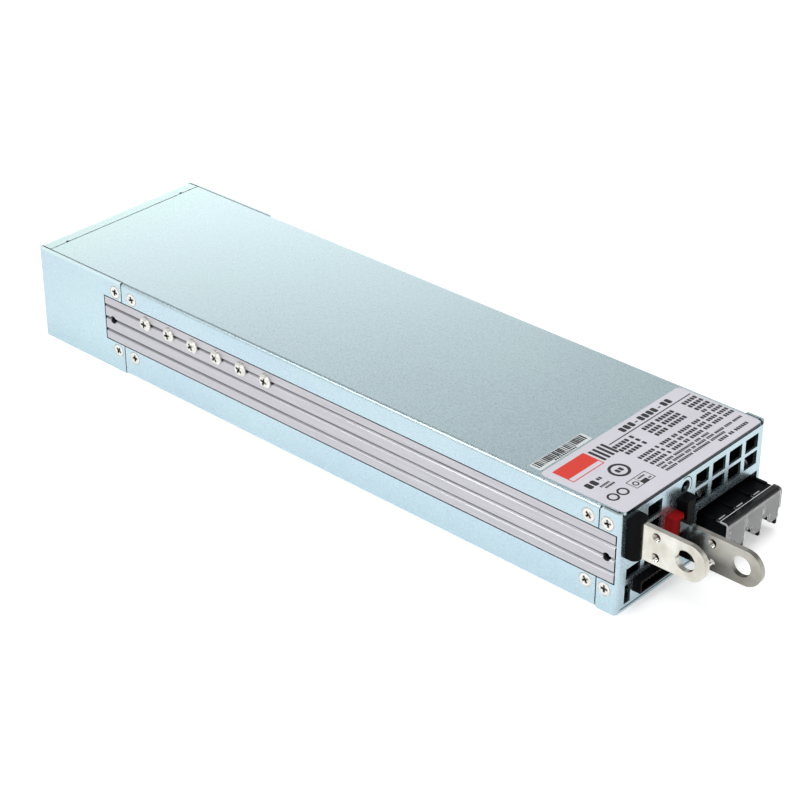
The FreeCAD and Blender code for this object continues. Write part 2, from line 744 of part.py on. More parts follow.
def rail_hole(y, z, radius):
    return rod(-HALF - PAST, y, z, radius, HALF - RAIL_INNER + 2 * PAST, X_AXIS)


def case_screws():
    screw = flat_screw(SCREW_LENGTH)
    right = []
    for i, point in enumerate(case_screw_points()):
        right.append(seated(screw, point, X_AXIS, FULL_TURN * ARC_MIDDLE * i))
    return group(right + [mirrored(shape) for shape in right])


def transistor_screws():
    reach = HALF - RAIL_INNER + PAD + TRANSISTOR_TAB + NUT_HEIGHT
    screw = pan_screw(PAN_HEAD_RADIUS, PAN_HEAD_HEIGHT, SCREW_RADIUS, reach)
    right = []
    for i, y in enumerate(transistor_ys()):
        right.append(seated(screw, Vector(HALF, y, TRANSISTOR_Z), X_AXIS, FULL_TURN * ARC_MIDDLE * i))
    return group(right + [mirrored(shape) for shape in right])


def transistor_nuts():
    nut = hex_nut(SCREW_RADIUS + SCREW_FIT)
    face = RAIL_INNER - PAD - TRANSISTOR_TAB
    right = [seated(nut, Vector(face, y, TRANSISTOR_Z), -X_AXIS) for y in transistor_ys()]
    return group(right + [mirrored(shape) for shape in right])


def transistor_pads():
    ys = transistor_ys()
    side = TRANSISTOR_WIDTH / 2 + PAD_MARGIN
    top = TRANSISTOR_Z + TRANSISTOR_TAB_HEIGHT / 2 + PAD_MARGIN
    base = TRANSISTOR_Z - TRANSISTOR_TAB_HEIGHT / 2 - TRANSISTOR_BODY_HEIGHT - PAD_MARGIN
    pad = box(RAIL_INNER - PAD, RAIL_INNER, min(ys) - side, max(ys) + side, base, top)
    hole = rod(RAIL_INNER - PAD - PAST, 0, TRANSISTOR_Z, SCREW_RADIUS + SCREW_FIT, PAD + 2 * PAST, X_AXIS)
    return group(both_sides(pad.cut([moved(hole, 0, y, 0) for y in ys])))


def transistor(y):
    """Tab with a screw hole, moulded body and three leads down to the board."""
    face = RAIL_INNER - PAD
    side = TRANSISTOR_WIDTH / 2
    tab_base = TRANSISTOR_Z - TRANSISTOR_TAB_HEIGHT / 2
    tab_top = TRANSISTOR_Z + TRANSISTOR_TAB_HEIGHT / 2
    body_base = tab_base - TRANSISTOR_BODY_HEIGHT
    tab = box(face - TRANSISTOR_TAB, face, y - side, y + side, tab_base, tab_top)
    body = box(face - TRANSISTOR_BODY, face, y - side, y + side, body_base, tab_base)
    lead_x = face - TRANSISTOR_BODY / 2
    leads = []
    for step in (-1, 0, 1):
        lead_y = y + step * LEAD_PITCH
        leads.append(box(lead_x - LEAD_THICKNESS / 2, lead_x + LEAD_THICKNESS / 2,
                         lead_y - LEAD_WIDTH / 2, lead_y + LEAD_WIDTH / 2, BOARD_TOP, body_base))
    hole = rod(face - TRANSISTOR_TAB - PAST, y, TRANSISTOR_Z, SCREW_RADIUS + SCREW_FIT,
               TRANSISTOR_TAB + 2 * PAST, X_AXIS)
    return joined(tab, [body] + leads).cut(hole)


def power_transistors():
    right = [transistor(y) for y in transistor_ys()]
    return group(right + [mirrored(shape) for shape in right])


# Output bars and insulating blocks

def bar_x(to_side):
    return -HALF + to_side


def busbar(to_side, middle, taps_out, hole_out):
    """Upright plate with a round nose, a bolt hole, two tapped holes and a foot on the board."""
    x = bar_x(to_side)
    half = BAR_HEIGHT / 2
    hole = FRONT - hole_out
    nose = hole - BAR_NOSE
    inner = FRONT + BAR_INSIDE
    outline = Outline(in_yz(x), inner, BOARD_TOP)
    outline.line(inner, middle + half)
    outline.line(nose, middle + half)
    outline.round_corner((nose, middle), half, NORTH, SOUTH)
    outline.line(inner - BAR_FOOT, middle - half)
    outline.line(inner - BAR_FOOT, BOARD_TOP)
    plate = outline.solid(Vector(BAR_THICKNESS, 0, 0))
    taps = FRONT - taps_out
    through = BAR_THICKNESS + 2 * PAST
    holes = [rod(x - PAST, hole, middle, BAR_HOLE_RADIUS, through, X_AXIS)]
    for dz in (-BAR_TAP_SPACING / 2, BAR_TAP_SPACING / 2):
        holes.append(rod(x - PAST, taps, middle + dz, BAR_TAP_RADIUS, through, X_AXIS))
    return plate.cut(holes)


def fronted_block(x0, x1, z0, z1, left_round, right_round):
    """Block that stands out of the panel with round upright front edges."""
    front = FRONT - INSULATOR_OUT
    outline = Outline(in_xy(z0), x0, FRONT)
    outline.line(x0, front + left_round)
    outline.round_corner((x0 + left_round, front + left_round), left_round, WEST, SOUTH)
    outline.line(x1 - right_round, front)
    outline.round_corner((x1 - right_round, front + right_round), right_round, SOUTH, FULL_TURN)
    outline.line(x1, FRONT)
    return outline.solid(Vector(0, 0, z1 - z0))


def insulator_plug(to_side, middle):
    x = bar_x(to_side)
    half = BAR_HEIGHT / 2 + INSULATOR_WALL / 2
    return (x - PLUG_WALL, x + BAR_THICKNESS + PLUG_WALL, middle - half, middle + half)


def partition_plug():
    x0 = PARTITION_X + PLUG_WALL
    x1 = PARTITION_X + PARTITION_WIDTH - PLUG_WALL
    return (x0, x1, PARTITION_BASE + PLUG_WALL, PARTITION_TOP - PLUG_WALL)


def plugs():
    return [
        insulator_plug(NEGATIVE_TO_SIDE, NEGATIVE_MIDDLE),
        insulator_plug(POSITIVE_TO_SIDE, POSITIVE_MIDDLE),
        partition_plug(),
    ]


def panel_slot(x0, x1, z0, z1):
    return panel_hole(x0 - PLUG_FIT, x1 + PLUG_FIT, z0 - PLUG_FIT, z1 + PLUG_FIT)


def plug_block(x0, x1, z0, z1):
    return box(x0, x1, FRONT, FRONT + SHEET + PLUG_BEHIND, z0, z1)


def insulator(to_side, middle, width):
    """Moulded sleeve round a bar where it passes the front panel."""
    centre = bar_x(to_side) + BAR_THICKNESS / 2
    half = BAR_HEIGHT / 2 + INSULATOR_WALL
    side = width / 2
    nose = fronted_block(centre - side, centre + side, middle - half, middle + half,
                         INSULATOR_ROUND, INSULATOR_ROUND)
    plug = plug_block(*insulator_plug(to_side, middle))
    slot_side = BAR_THICKNESS / 2 + BAR_FIT
    slot_half = BAR_HEIGHT / 2 + BAR_FIT
    slot = box(centre - slot_side, centre + slot_side, FRONT - INSULATOR_OUT - PAST,
               FRONT + SHEET + PLUG_BEHIND + PAST, middle - slot_half, middle + slot_half)
    return joined(nose, [plug]).cut(slot)


def partition_block():
    x1 = PARTITION_X + PARTITION_WIDTH
    nose = fronted_block(PARTITION_X, x1, PARTITION_BASE, PARTITION_TOP, SEAM, PARTITION_ROUND)
    return joined(nose, [plug_block(*partition_plug())])


# Input terminal block

def pole_xs():
    first = TERMINAL_X - (TERMINAL_POLES - 1) * TERMINAL_PITCH / 2
    return [first + i * TERMINAL_PITCH for i in range(TERMINAL_POLES)]


def pole_edges():
    first = TERMINAL_X - TERMINAL_POLES * TERMINAL_PITCH / 2
    return [first + i * TERMINAL_PITCH for i in range(TERMINAL_POLES + 1)]


def knuckle_xs():
    return [x - KNUCKLE_OFFSET for x in pole_xs()]


def clamp_face():
    """Plane of the bays' back wall."""
    return FRONT - TERMINAL_OUT + TERMINAL_BAY


def clamp_z():
    return CLAMP_BASE + CLAMP_HEIGHT / 2


def terminal_block():
    half = TERMINAL_WIDTH / 2
    x0 = TERMINAL_X - half
    x1 = TERMINAL_X + half
    front = FRONT - TERMINAL_OUT
    outline = Outline(in_yz(x0), FRONT + SHEET, TERMINAL_BASE)
    outline.line(FRONT + SHEET, TERMINAL_TOP)
    outline.line(front + TERMINAL_CHAMFER, TERMINAL_TOP)
    outline.line(front, TERMINAL_TOP - TERMINAL_CHAMFER)
    outline.line(front, TERMINAL_BASE)
    body = outline.solid(Vector(x1 - x0, 0, 0))
    rear_x1 = min(x1, RAIL_INNER - TERMINAL_FIT)
    rear = box(x0, rear_x1, FRONT + SHEET, FRONT + TERMINAL_IN, BOARD_TOP, TERMINAL_TOP)
    ribs = []
    for x in pole_edges():
        ribs.append(box(x - RIB_WIDTH / 2, x + RIB_WIDTH / 2, FRONT - RIB_LENGTH, FRONT + SHEET,
                        TERMINAL_TOP, TERMINAL_TOP + RIB_HEIGHT))
    block = joined(body, [rear] + ribs)
    bay_half = (TERMINAL_PITCH - TERMINAL_WALL) / 2
    cuts = []
    for x in pole_xs():
        cuts.append(box(x - bay_half, x + bay_half, front - PAST, clamp_face(),
                        TERMINAL_BASE - PAST, TERMINAL_TOP - TERMINAL_ROOF))
        cuts.append(rod(x, clamp_face() - PAST, clamp_z(), TERMINAL_SCREW_RADIUS + SCREW_FIT,
                        TERMINAL_SCREW_LENGTH + PAST, Y_AXIS))
    length = KNUCKLE_LENGTH + 2 * KNUCKLE_SIDE_GAP
    for x in knuckle_xs():
        cuts.append(rod(x - length / 2, HINGE_Y, HINGE_Z, HINGE_RADIUS + HINGE_FIT, length, X_AXIS))
    return block.cut(cuts)


def clamp_plate(x):
    half = CLAMP_WIDTH / 2
    plate = box(x - half, x + half, clamp_face() - CLAMP_THICKNESS, clamp_face(),
                CLAMP_BASE, CLAMP_BASE + CLAMP_HEIGHT)
    hole = rod(x, clamp_face() - CLAMP_THICKNESS - PAST, clamp_z(), TERMINAL_SCREW_RADIUS + SCREW_FIT,
               CLAMP_THICKNESS + 2 * PAST, Y_AXIS)
    return plate.cut(hole)


def terminal_plates():
    return group([clamp_plate(x) for x in pole_xs()])


def terminal_screws():
    length = CLAMP_THICKNESS + TERMINAL_SCREW_LENGTH - PAST
    screw = pan_screw(TERMINAL_HEAD_RADIUS, TERMINAL_HEAD_HEIGHT, TERMINAL_SCREW_RADIUS, length)
    face = clamp_face() - CLAMP_THICKNESS
    return group([seated(screw, Vector(x, face, clamp_z()), -Y_AXIS, FULL_TURN * ARC_MIDDLE * i)
                  for i, x in enumerate(pole_xs())])


def cover_sheet(x0, x1):
    """Bent strip over the block's top edge and down its front."""
    top = HINGE_Z + HINGE_RADIUS
    back = HINGE_Y - HINGE_RADIUS - COVER_GAP
    outer = FRONT - TERMINAL_OUT - COVER_GAP - COVER_THICKNESS
    foot = top - COVER_DROP
    inner_bend = COVER_BEND - COVER_THICKNESS
    centre = (outer + COVER_BEND, top - COVER_BEND)
    outline = Outline(in_yz(x0), back, top)
    outline.line(centre[0], top)
    outline.round_corner(centre, COVER_BEND, NORTH, WEST)
    outline.line(outer, foot)
    outline.line(outer + COVER_THICKNESS, foot)
    outline.line(outer + COVER_THICKNESS, centre[1])
    outline.round_corner(centre, inner_bend, WEST, NORTH)
    outline.line(back, top - COVER_THICKNESS)
    return outline.solid(Vector(x1 - x0, 0, 0))


def finger_corner(x, side):
    """Cutter that rounds the lower corner of a finger that lies on that side of x."""
    y0 = FRONT - TERMINAL_OUT - COVER_GAP - COVER_THICKNESS - PAST
    y1 = FRONT - TERMINAL_OUT
    foot = HINGE_Z + HINGE_RADIUS - COVER_DROP
    centre = x + side * COVER_TAB_ROUND
    beyond = x - side * COVER_SLOT / 2
    corner = box(min(beyond, centre), max(beyond, centre), y0, y1, foot - PAST, foot + COVER_TAB_ROUND)
    return corner.cut(rod(centre, y0, foot + COVER_TAB_ROUND, COVER_TAB_ROUND, y1 - y0, Y_AXIS))


def cover_cuts():
    """Slots between the fingers, the step in each finger and the round corners of its long part."""
    top = HINGE_Z + HINGE_RADIUS
    foot = top - COVER_DROP
    y0 = FRONT - TERMINAL_OUT - COVER_GAP - COVER_THICKNESS - PAST
    y1 = FRONT - TERMINAL_OUT
    edges = pole_edges()
    half = COVER_SLOT / 2
    cuts = []
    for x in edges[1:-1]:
        cuts.append(box(x - half, x + half, y0, y1, foot - PAST, top - COVER_SLOT_ROOT))
    for x in edges[1:]:
        right = x - half
        tab = right - COVER_TAB
        step = right - TERMINAL_PITCH + COVER_SLOT
        cuts.append(box(step, tab, y0, y1, foot - PAST, foot + COVER_STEP))
        cuts += [finger_corner(tab, 1), finger_corner(right, -1)]
    right_end = TERMINAL_X + TERMINAL_WIDTH / 2
    cuts.append(box(edges[-1] - half, right_end + PAST, y0, y1, foot - PAST, foot + COVER_STEP))
    left_end = TERMINAL_X - TERMINAL_WIDTH / 2
    cuts.append(box(left_end - PAST, edges[0] + half, y0, y1, foot - PAST, foot + COVER_STEP))
    return cuts


def terminal_cover():
    """Clear cover with knuckles that turn in the block's top grooves."""
    x0 = TERMINAL_X - TERMINAL_WIDTH / 2
    x1 = TERMINAL_X + TERMINAL_WIDTH / 2
    top = HINGE_Z + HINGE_RADIUS
    back = HINGE_Y - HINGE_RADIUS - COVER_GAP
    sheet = cover_sheet(x0, x1)
    knuckles = []
    for x in knuckle_xs():
        left = x - KNUCKLE_LENGTH / 2
        knuckles.append(rod(left, HINGE_Y, HINGE_Z, HINGE_RADIUS, KNUCKLE_LENGTH, X_AXIS))
        knuckles.append(box(left, left + KNUCKLE_LENGTH, back, HINGE_Y, top - COVER_THICKNESS, top))
    return joined(sheet, knuckles).cut(cover_cuts())


# Signal connector and output trimmer

def signal_connector():
    x0 = -HALF + SIGNAL_TO_SIDE
    x1 = x0 + SIGNAL_WIDTH
    y0 = FRONT - SIGNAL_OUT
    z1 = BOARD_TOP + SIGNAL_HEIGHT
    shroud = box(x0, x1, y0, y0 + SIGNAL_DEPTH, BOARD_TOP, z1)
    cavity = box(x0 + SIGNAL_WALL, x1 - SIGNAL_WALL, y0 - PAST, y0 + SIGNAL_CAVITY,
                 BOARD_TOP + SIGNAL_WALL, z1 - SIGNAL_WALL)
    return shroud.cut(cavity)


def signal_pins():
    middle_x = -HALF + SIGNAL_TO_SIDE + SIGNAL_WIDTH / 2
    middle_z = BOARD_TOP + SIGNAL_HEIGHT / 2
    back = FRONT - SIGNAL_OUT + SIGNAL_CAVITY
    half = PIN_SIZE / 2
    pins = []
    for column in range(PIN_COLUMNS):
        x = middle_x + (column - (PIN_COLUMNS - 1) / 2) * PIN_PITCH
        for z in (middle_z - PIN_PITCH / 2, middle_z + PIN_PITCH / 2):
            pins.append(box(x - half, x + half, back - PIN_LENGTH, back, z - half, z + half))
    return group(pins)


def trimmer_body():
    half = TRIMMER_SIZE / 2
    body = box(ADJUST_X - half, ADJUST_X + half, TRIMMER_FACE, TRIMMER_FACE + TRIMMER_DEPTH,
               ADJUST_Z - half, ADJUST_Z + half)
    bore = TRIMMER_RADIUS + TRIMMER_FIT
    seat = rod(ADJUST_X, TRIMMER_FACE - PAST, ADJUST_Z, bore, TRIMMER_SEAT + PAST, Y_AXIS)
    return body.cut(seat)


def trimmer_rotor():
    y0 = TRIMMER_FACE - TRIMMER_PROUD
    disc = rod(ADJUST_X, y0, ADJUST_Z, TRIMMER_RADIUS, TRIMMER_PROUD + TRIMMER_SEAT - TRIMMER_FIT, Y_AXIS)
    slot = box(ADJUST_X - TRIMMER_RADIUS, ADJUST_X + TRIMMER_RADIUS, y0 - PAST, y0 + TRIMMER_SLOT_DEPTH,
               ADJUST_Z - TRIMMER_SLOT / 2, ADJUST_Z + TRIMMER_SLOT / 2)
    return disc.cut(slot)


def adjust_board():
    half = ADJUST_BOARD_WIDTH / 2
    y0 = TRIMMER_FACE + TRIMMER_DEPTH
    top = CASE_HEIGHT - ADJUST_BOARD_TO_TOP
    return box(ADJUST_X - half, ADJUST_X + half, y0, y0 + BOARD, BOARD_TOP, top)


# Fans, made along +Y from their inner face

def fan_frame():
    half = FAN_SIZE / 2
    inner = rounded_block(in_xz(0), -half, half, -half, half, FAN_CORNER, Vector(0, FAN_FLANGE, 0))
    outer = moved(inner, 0, FAN_DEPTH - FAN_FLANGE, 0)
    tube = rod(0, 0, 0, half, FAN_DEPTH, Y_AXIS)
    duct = rod(0, -PAST, 0, FAN_DUCT_RADIUS, FAN_DEPTH + 2 * PAST, Y_AXIS)
    shell = joined(inner, [outer, tube]).cut(duct)
    hub = rod(0, 0, 0, FAN_HUB_RADIUS, FAN_STRUT, Y_AXIS)
    strut = box(0, FAN_DUCT_RADIUS + FAN_WALL / 2, 0, FAN_STRUT, -FAN_STRUT / 2, FAN_STRUT / 2)
    struts = [turned(strut, FULL_TURN * (i + 0.5) / FAN_STRUTS, Y_AXIS) for i in range(FAN_STRUTS)]
    boss = rod(0, 0, 0, BOSS_RADIUS, BOSS_LENGTH, Y_AXIS)
    frame = joined(shell, [hub, boss] + struts)
    cuts = [rod(0, FAN_STRUT / 2, 0, SHAFT_RADIUS + SHAFT_FIT, BOSS_LENGTH, Y_AXIS)]
    for x in (-FAN_HOLE_OFFSET, FAN_HOLE_OFFSET):
        for z in (-FAN_HOLE_OFFSET, FAN_HOLE_OFFSET):
            cuts.append(rod(x, -PAST, z, FAN_HOLE_RADIUS, FAN_DEPTH + 2 * PAST, Y_AXIS))
    return frame.cut(cuts)


def fan_stator():
    """Coil ring on the frame's boss, parted into poles."""
    outer = FAN_HUB_RADIUS - FAN_CUP_WALL - STATOR_GAP
    ring = rod(0, STATOR_START, 0, outer, STATOR_LENGTH, Y_AXIS)
    cuts = [rod(0, STATOR_START - PAST, 0, BOSS_RADIUS + SCREW_FIT, STATOR_LENGTH + 2 * PAST, Y_AXIS)]
    y0 = STATOR_START - PAST
    y1 = STATOR_START + STATOR_LENGTH + PAST
    slot = box(BOSS_RADIUS + STATOR_SLOT, FAN_HUB_RADIUS, y0, y1, -STATOR_SLOT / 2, STATOR_SLOT / 2)
    cuts += [turned(slot, FULL_TURN * i / STATOR_POLES, Y_AXIS) for i in range(STATOR_POLES)]
    return ring.cut(cuts)


def blade_section(radius, chord, angle):
    """Arched section of a blade at a radius along +X, pitched from the plane of rotation."""
    pitch = math.radians(angle)
    along = Vector(0, math.sin(pitch), math.cos(pitch))
    across = Vector(0, math.cos(pitch), -math.sin(pitch))
    middle = Vector(radius, (FAN_CUP_START + FAN_DEPTH - FAN_CUP_INSET) / 2, 0)
    half = chord / 2
    skin = BLADE_THICKNESS / 2
    rear = [middle - along * half + across * skin, middle + along * half + across * skin]
    front = [middle + along * half - across * skin, middle - along * half - across * skin]
    edges = [
        Part.Arc(rear[0], middle + across * (BLADE_CAMBER + skin), rear[1]).toShape(),
        Part.makeLine(rear[1], front[0]),
        Part.Arc(front[0], middle + across * (BLADE_CAMBER - skin), front[1]).toShape(),
        Part.makeLine(front[1], rear[0]),
    ]
    return Part.Wire(edges)


def fan_rotor():
    """Motor cup with a shaft and twisted blades."""
    cup_end = FAN_DEPTH - FAN_CUP_INSET
    cup = rod(0, FAN_CUP_START, 0, FAN_HUB_RADIUS, cup_end - FAN_CUP_START, Y_AXIS)
    hollow = rod(0, FAN_CUP_START - PAST, 0, FAN_HUB_RADIUS - FAN_CUP_WALL,
                 cup_end - FAN_CUP_CAP - FAN_CUP_START + PAST, Y_AXIS)
    shaft = rod(0, FAN_STRUT, 0, SHAFT_RADIUS, cup_end - FAN_STRUT, Y_AXIS)
    root = blade_section(FAN_HUB_RADIUS - BLADE_SINK, BLADE_ROOT_CHORD, BLADE_ROOT_ANGLE)
    tip = blade_section(BLADE_TIP_RADIUS + PAST, BLADE_TIP_CHORD, BLADE_TIP_ANGLE)
    sweep = rod(0, 0, 0, BLADE_TIP_RADIUS, FAN_DEPTH, Y_AXIS)
    blade = Part.makeLoft([root, tip], True, True).common(sweep)
    blades = [turned(blade, FULL_TURN * i / BLADE_COUNT, Y_AXIS) for i in range(BLADE_COUNT)]
    return joined(cup.cut(hollow), [shaft] + blades)


def at_fan(shape, centre):
    return moved(shape, centre.x, centre.y, centre.z)


def fan_screws():
    screw = flat_screw(SHEET + FAN_FLANGE)
    return group([seated(screw, point, Y_AXIS, FULL_TURN * ARC_MIDDLE * i)
                  for i, point in enumerate(fan_screw_points())])


# Main board and parts on it

def main_board():
    board = box(-BOARD_HALF, BOARD_HALF, BOARD_FRONT, BOARD_REAR, BOARD_BASE, BOARD_TOP)
    holes = [rod(x, y, BOARD_BASE - PAST, SCREW_RADIUS + SCREW_FIT, BOARD + 2 * PAST, Z_AXIS)
             for x, y in standoff_points()]
    return board.cut(holes)


def insulation_sheet():
    half = BOARD_HALF - FILM_MARGIN
    sheet = box(-half, half, BOARD_FRONT + FILM_MARGIN, BOARD_REAR - FILM_MARGIN, SHEET, SHEET + FILM)
    holes = [rod(x, y, SHEET - PAST, STANDOFF_RADIUS + SEATING, FILM + 2 * PAST, Z_AXIS)
             for x, y in standoff_points()]
    return sheet.cut(holes)


def board_standoffs():
    post = rod(0, 0, SHEET, STANDOFF_RADIUS, STANDOFF_HEIGHT, Z_AXIS)
    shank = rod(0, 0, 0, STANDOFF_SHANK, SHEET, Z_AXIS)
    bore = rod(0, 0, SHEET, SCREW_RADIUS + SCREW_FIT, STANDOFF_HEIGHT + PAST, Z_AXIS)
    standoff = joined(post, [shank]).cut(bore)
    return group([moved(standoff, x, y, 0) for x, y in standoff_points()])


def board_screws():
    screw = pan_screw(BOARD_HEAD_RADIUS, BOARD_HEAD_HEIGHT, SCREW_RADIUS, BOARD + STANDOFF_HEIGHT - SEATING)
    return group([moved(turned(screw, FULL_TURN * ARC_MIDDLE * i, Z_AXIS), x, y, BOARD_TOP)
                  for i, (x, y) in enumerate(standoff_points())])


def can(radius, length):
    """Capacitor can along +Z with a crimped neck and eased ends."""
    outline = Outline(in_xz(0), 0, 0)
    outline.line(radius - CAN_EDGE, 0)
    outline.line(radius, CAN_EDGE)
    outline.line(radius, CAN_CRIMP_INSET - CAN_CRIMP)
    outline.line(radius - CAN_CRIMP, CAN_CRIMP_INSET)
    outline.line(radius, CAN_CRIMP_INSET + CAN_CRIMP)
    outline.line(radius, length - CAN_EDGE)
    outline.line(radius - CAN_EDGE, length)
    outline.line(0, length)
    outline.edges.append(Part.makeLine(outline.last, outline.first))
    return Part.Face(Part.Wire(outline.edges)).revolve(ORIGIN, Z_AXIS, FULL_TURN)


def output_capacitors():
    stand = can(OUTPUT_CAN_RADIUS, OUTPUT_CAN_HEIGHT)
    cans = []
    for row in range(OUTPUT_CAN_ROWS):
        for column in range(OUTPUT_CAN_COLUMNS):
            x = -HALF + OUTPUT_CAN_TO_SIDE + column * OUTPUT_CAN_PITCH
            y = FRONT + OUTPUT_CAN_TO_FRONT + row * OUTPUT_CAN_PITCH
            cans.append(moved(stand, x, y, BOARD_TOP))
    return group(cans)


def bulk_capacitors():
    lying = turned(can(BULK_CAN_RADIUS, BULK_CAN_LENGTH), FULL_TURN / 4, X_AXIS)
    z = BOARD_TOP + BULK_CAN_RADIUS + SEATING
    y = REAR - BULK_CAN_TO_REAR
    return group([moved(lying, x, y, z) for x in (-BULK_CAN_SPACING / 2, BULK_CAN_SPACING / 2)])


def choke(ring, x, to_front):
    """Wound ring that lies flat on the board."""
    centre = Vector(x, FRONT + to_front, BOARD_TOP + CHOKE_TUBE + SEATING)
    return Part.makeTorus(ring, CHOKE_TUBE, centre, Z_AXIS)


def core_centre():
    return Vector(-HALF + CORE_TO_SIDE, FRONT + CORE_TO_FRONT, BOARD_TOP + BOBBIN_BASE)


def transformer_core():
    """Closed ferrite frame: two plates and two outer legs."""
    c = core_centre()
    height = 2 * CORE_PLATE + CORE_WINDOW
    half_x = CORE_WIDTH / 2
    half_y = CORE_LENGTH / 2
    block = box(c.x - half_x, c.x + half_x, c.y - half_y, c.y + half_y, c.z, c.z + height)
    inner = CORE_WIDTH / 2 - CORE_LEG
    window = box(c.x - inner, c.x + inner, c.y - CORE_LENGTH, c.y + CORE_LENGTH,
                 c.z + CORE_PLATE, c.z + CORE_PLATE + CORE_WINDOW)
    return block.cut(window)


def transformer_winding():
    c = core_centre()
    height = CORE_WINDOW - 2 * SEATING
    return rod(c.x, c.y, c.z + CORE_PLATE + SEATING, WINDING_RADIUS, height, Z_AXIS)


def transformer_base():
    c = core_centre()
    half_x = CORE_WIDTH / 2 + BOBBIN_MARGIN
    half_y = CORE_LENGTH / 2 + BOBBIN_MARGIN
    return box(c.x - half_x, c.x + half_x, c.y - half_y, c.y + half_y, BOARD_TOP, c.z)


def film_capacitors():
    half_x = BOX_CAP_LENGTH / 2
    half_y = BOX_CAP_DEPTH / 2
    block = rounded_block(in_xy(BOARD_TOP), -half_x, half_x, -half_y, half_y, BOX_CAP_EDGE,
                          Vector(0, 0, BOX_CAP_HEIGHT))
    first = FRONT + BOX_CAP_TO_FRONT
    return group([moved(block, INPUT_LANE_X, first + i * BOX_CAP_PITCH, 0) for i in range(BOX_CAP_COUNT)])


def control_board():
    y = FRONT + CONTROL_BOARD_TO_FRONT
    top = BOARD_TOP + CONTROL_BOARD_HEIGHT
    return box(-BOARD / 2, BOARD / 2, y, y + CONTROL_BOARD_LENGTH, BOARD_TOP, top)


def fuse_height():
    return BOARD_TOP + FUSE_CLIP_WALL + FUSE_RADIUS + SEATING


def input_fuse():
    x = INPUT_LANE_X - FUSE_LENGTH / 2
    return rod(x, FRONT + FUSE_TO_FRONT, fuse_height(), FUSE_RADIUS, FUSE_LENGTH, X_AXIS)


def fuse_clips():
    """Spring cups under both ends of the fuse."""
    inner = FUSE_RADIUS + SEATING
    outer = inner + FUSE_CLIP_WALL
    y = FRONT + FUSE_TO_FRONT
    clips = []
    for side in (-1, 1):
        x = INPUT_LANE_X + side * (FUSE_LENGTH - FUSE_CLIP_WIDTH) / 2 - FUSE_CLIP_WIDTH / 2
        cup = box(x, x + FUSE_CLIP_WIDTH, y - outer, y + outer, BOARD_TOP, fuse_height())
        clips.append(cup.cut([rod(x - PAST, y, fuse_height(), inner, FUSE_CLIP_WIDTH + 2 * PAST, X_AXIS)]))
    return group(clips)


# Stickers

def sticker(x0, x1, y0, y1, corner):
    return rounded_block(in_xy(CASE_HEIGHT), x0, x1, y0, y1, corner, Vector(0, 0, LABEL))


def rating_label():
    half = LABEL_WIDTH / 2
    y0 = FRONT + LABEL_INSET
    return sticker(-half, half, y0, y0 + LABEL_DEPTH, LABEL_CORNER)


def barcode_label():
    x0 = -HALF + TAG_TO_SIDE
    y0 = FRONT + TAG_TO_FRONT
    return sticker(x0, x0 + TAG_LENGTH, y0, y0 + TAG_DEPTH, TAG_CORNER)


def build():
    rail = left_rail()
    frame = fan_frame()
    rotor = fan_rotor()
    left_fan, right_fan = fan_centres()
    return {
        "bottom_tray": bottom_tray(),
        "top_cover": top_cover(),
        "front_panel": front_panel(),
        "rear_panel": rear_panel(),
        "left_rail": rail,
        "right_rail": mirrored(rail),
        "case_screws": case_screws(),
        "transistor_screws": transistor_screws(),
        "transistor_nuts": transistor_nuts(),
        "transistor_pads": transistor_pads(),
        "power_transistors": power_transistors(),
        "left_fan_frame": at_fan(frame, left_fan),
        "right_fan_frame": at_fan(frame, right_fan),
        "left_fan_rotor": at_fan(rotor, left_fan),
        "right_fan_rotor": at_fan(rotor, right_fan),
        "fan_stators": group([at_fan(fan_stator(), left_fan), at_fan(fan_stator(), right_fan)]),
        "fan_screws": fan_screws(),
        "negative_busbar": busbar(NEGATIVE_TO_SIDE, NEGATIVE_MIDDLE, NEGATIVE_TAPS_OUT, NEGATIVE_HOLE_OUT),
        "positive_busbar": busbar(POSITIVE_TO_SIDE, POSITIVE_MIDDLE, POSITIVE_TAPS_OUT, POSITIVE_HOLE_OUT),
        "negative_insulator": insulator(NEGATIVE_TO_SIDE, NEGATIVE_MIDDLE, NEGATIVE_SLEEVE),
        "positive_insulator": insulator(POSITIVE_TO_SIDE, POSITIVE_MIDDLE, POSITIVE_SLEEVE),
        "partition_block": partition_block(),
        "terminal_block": terminal_block(),
        "terminal_plates": terminal_plates(),
        "terminal_screws": terminal_screws(),
        "terminal_cover": terminal_cover(),
        "signal_connector": signal_connector(),
        "signal_pins": signal_pins(),
        "trimmer_body": trimmer_body(),
        "trimmer_rotor": trimmer_rotor(),
        "adjust_board": adjust_board(),
        "main_board": main_board(),
        "insulation_sheet": insulation_sheet(),
        "board_standoffs": board_standoffs(),
        "board_screws": board_screws(),
        "output_capacitors": output_capacitors(),
        "bulk_capacitors": bulk_capacitors(),
        "output_choke": choke(OUTPUT_CHOKE_RING, -HALF + OUTPUT_CHOKE_TO_SIDE, OUTPUT_CHOKE_TO_FRONT),
        "boost_choke": choke(BOOST_CHOKE_RING, INPUT_LANE_X, BOOST_CHOKE_TO_FRONT),
        "line_choke": choke(LINE_CHOKE_RING, INPUT_LANE_X, LINE_CHOKE_TO_FRONT),
        "transformer_core": transformer_core(),
        "transformer_winding": transformer_winding(),
        "transformer_base": transformer_base(),
        "film_capacitors": film_capacitors(),
        "control_board": control_board(),
        "input_fuse": input_fuse(),
        "fuse_clips": fuse_clips(),
        "rating_label": rating_label(),
        "barcode_label": barcode_label(),
    }


def main():
    os.makedirs("parts", exist_ok=True)
    for name, shape in build().items():
        shape.exportStep("parts/" + name + ".step")


main()
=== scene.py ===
import json
import math

import bmesh
import bpy
from bpy.props import FloatProperty, FloatVectorProperty, IntProperty, PointerProperty
from mathutils import Matrix, Vector


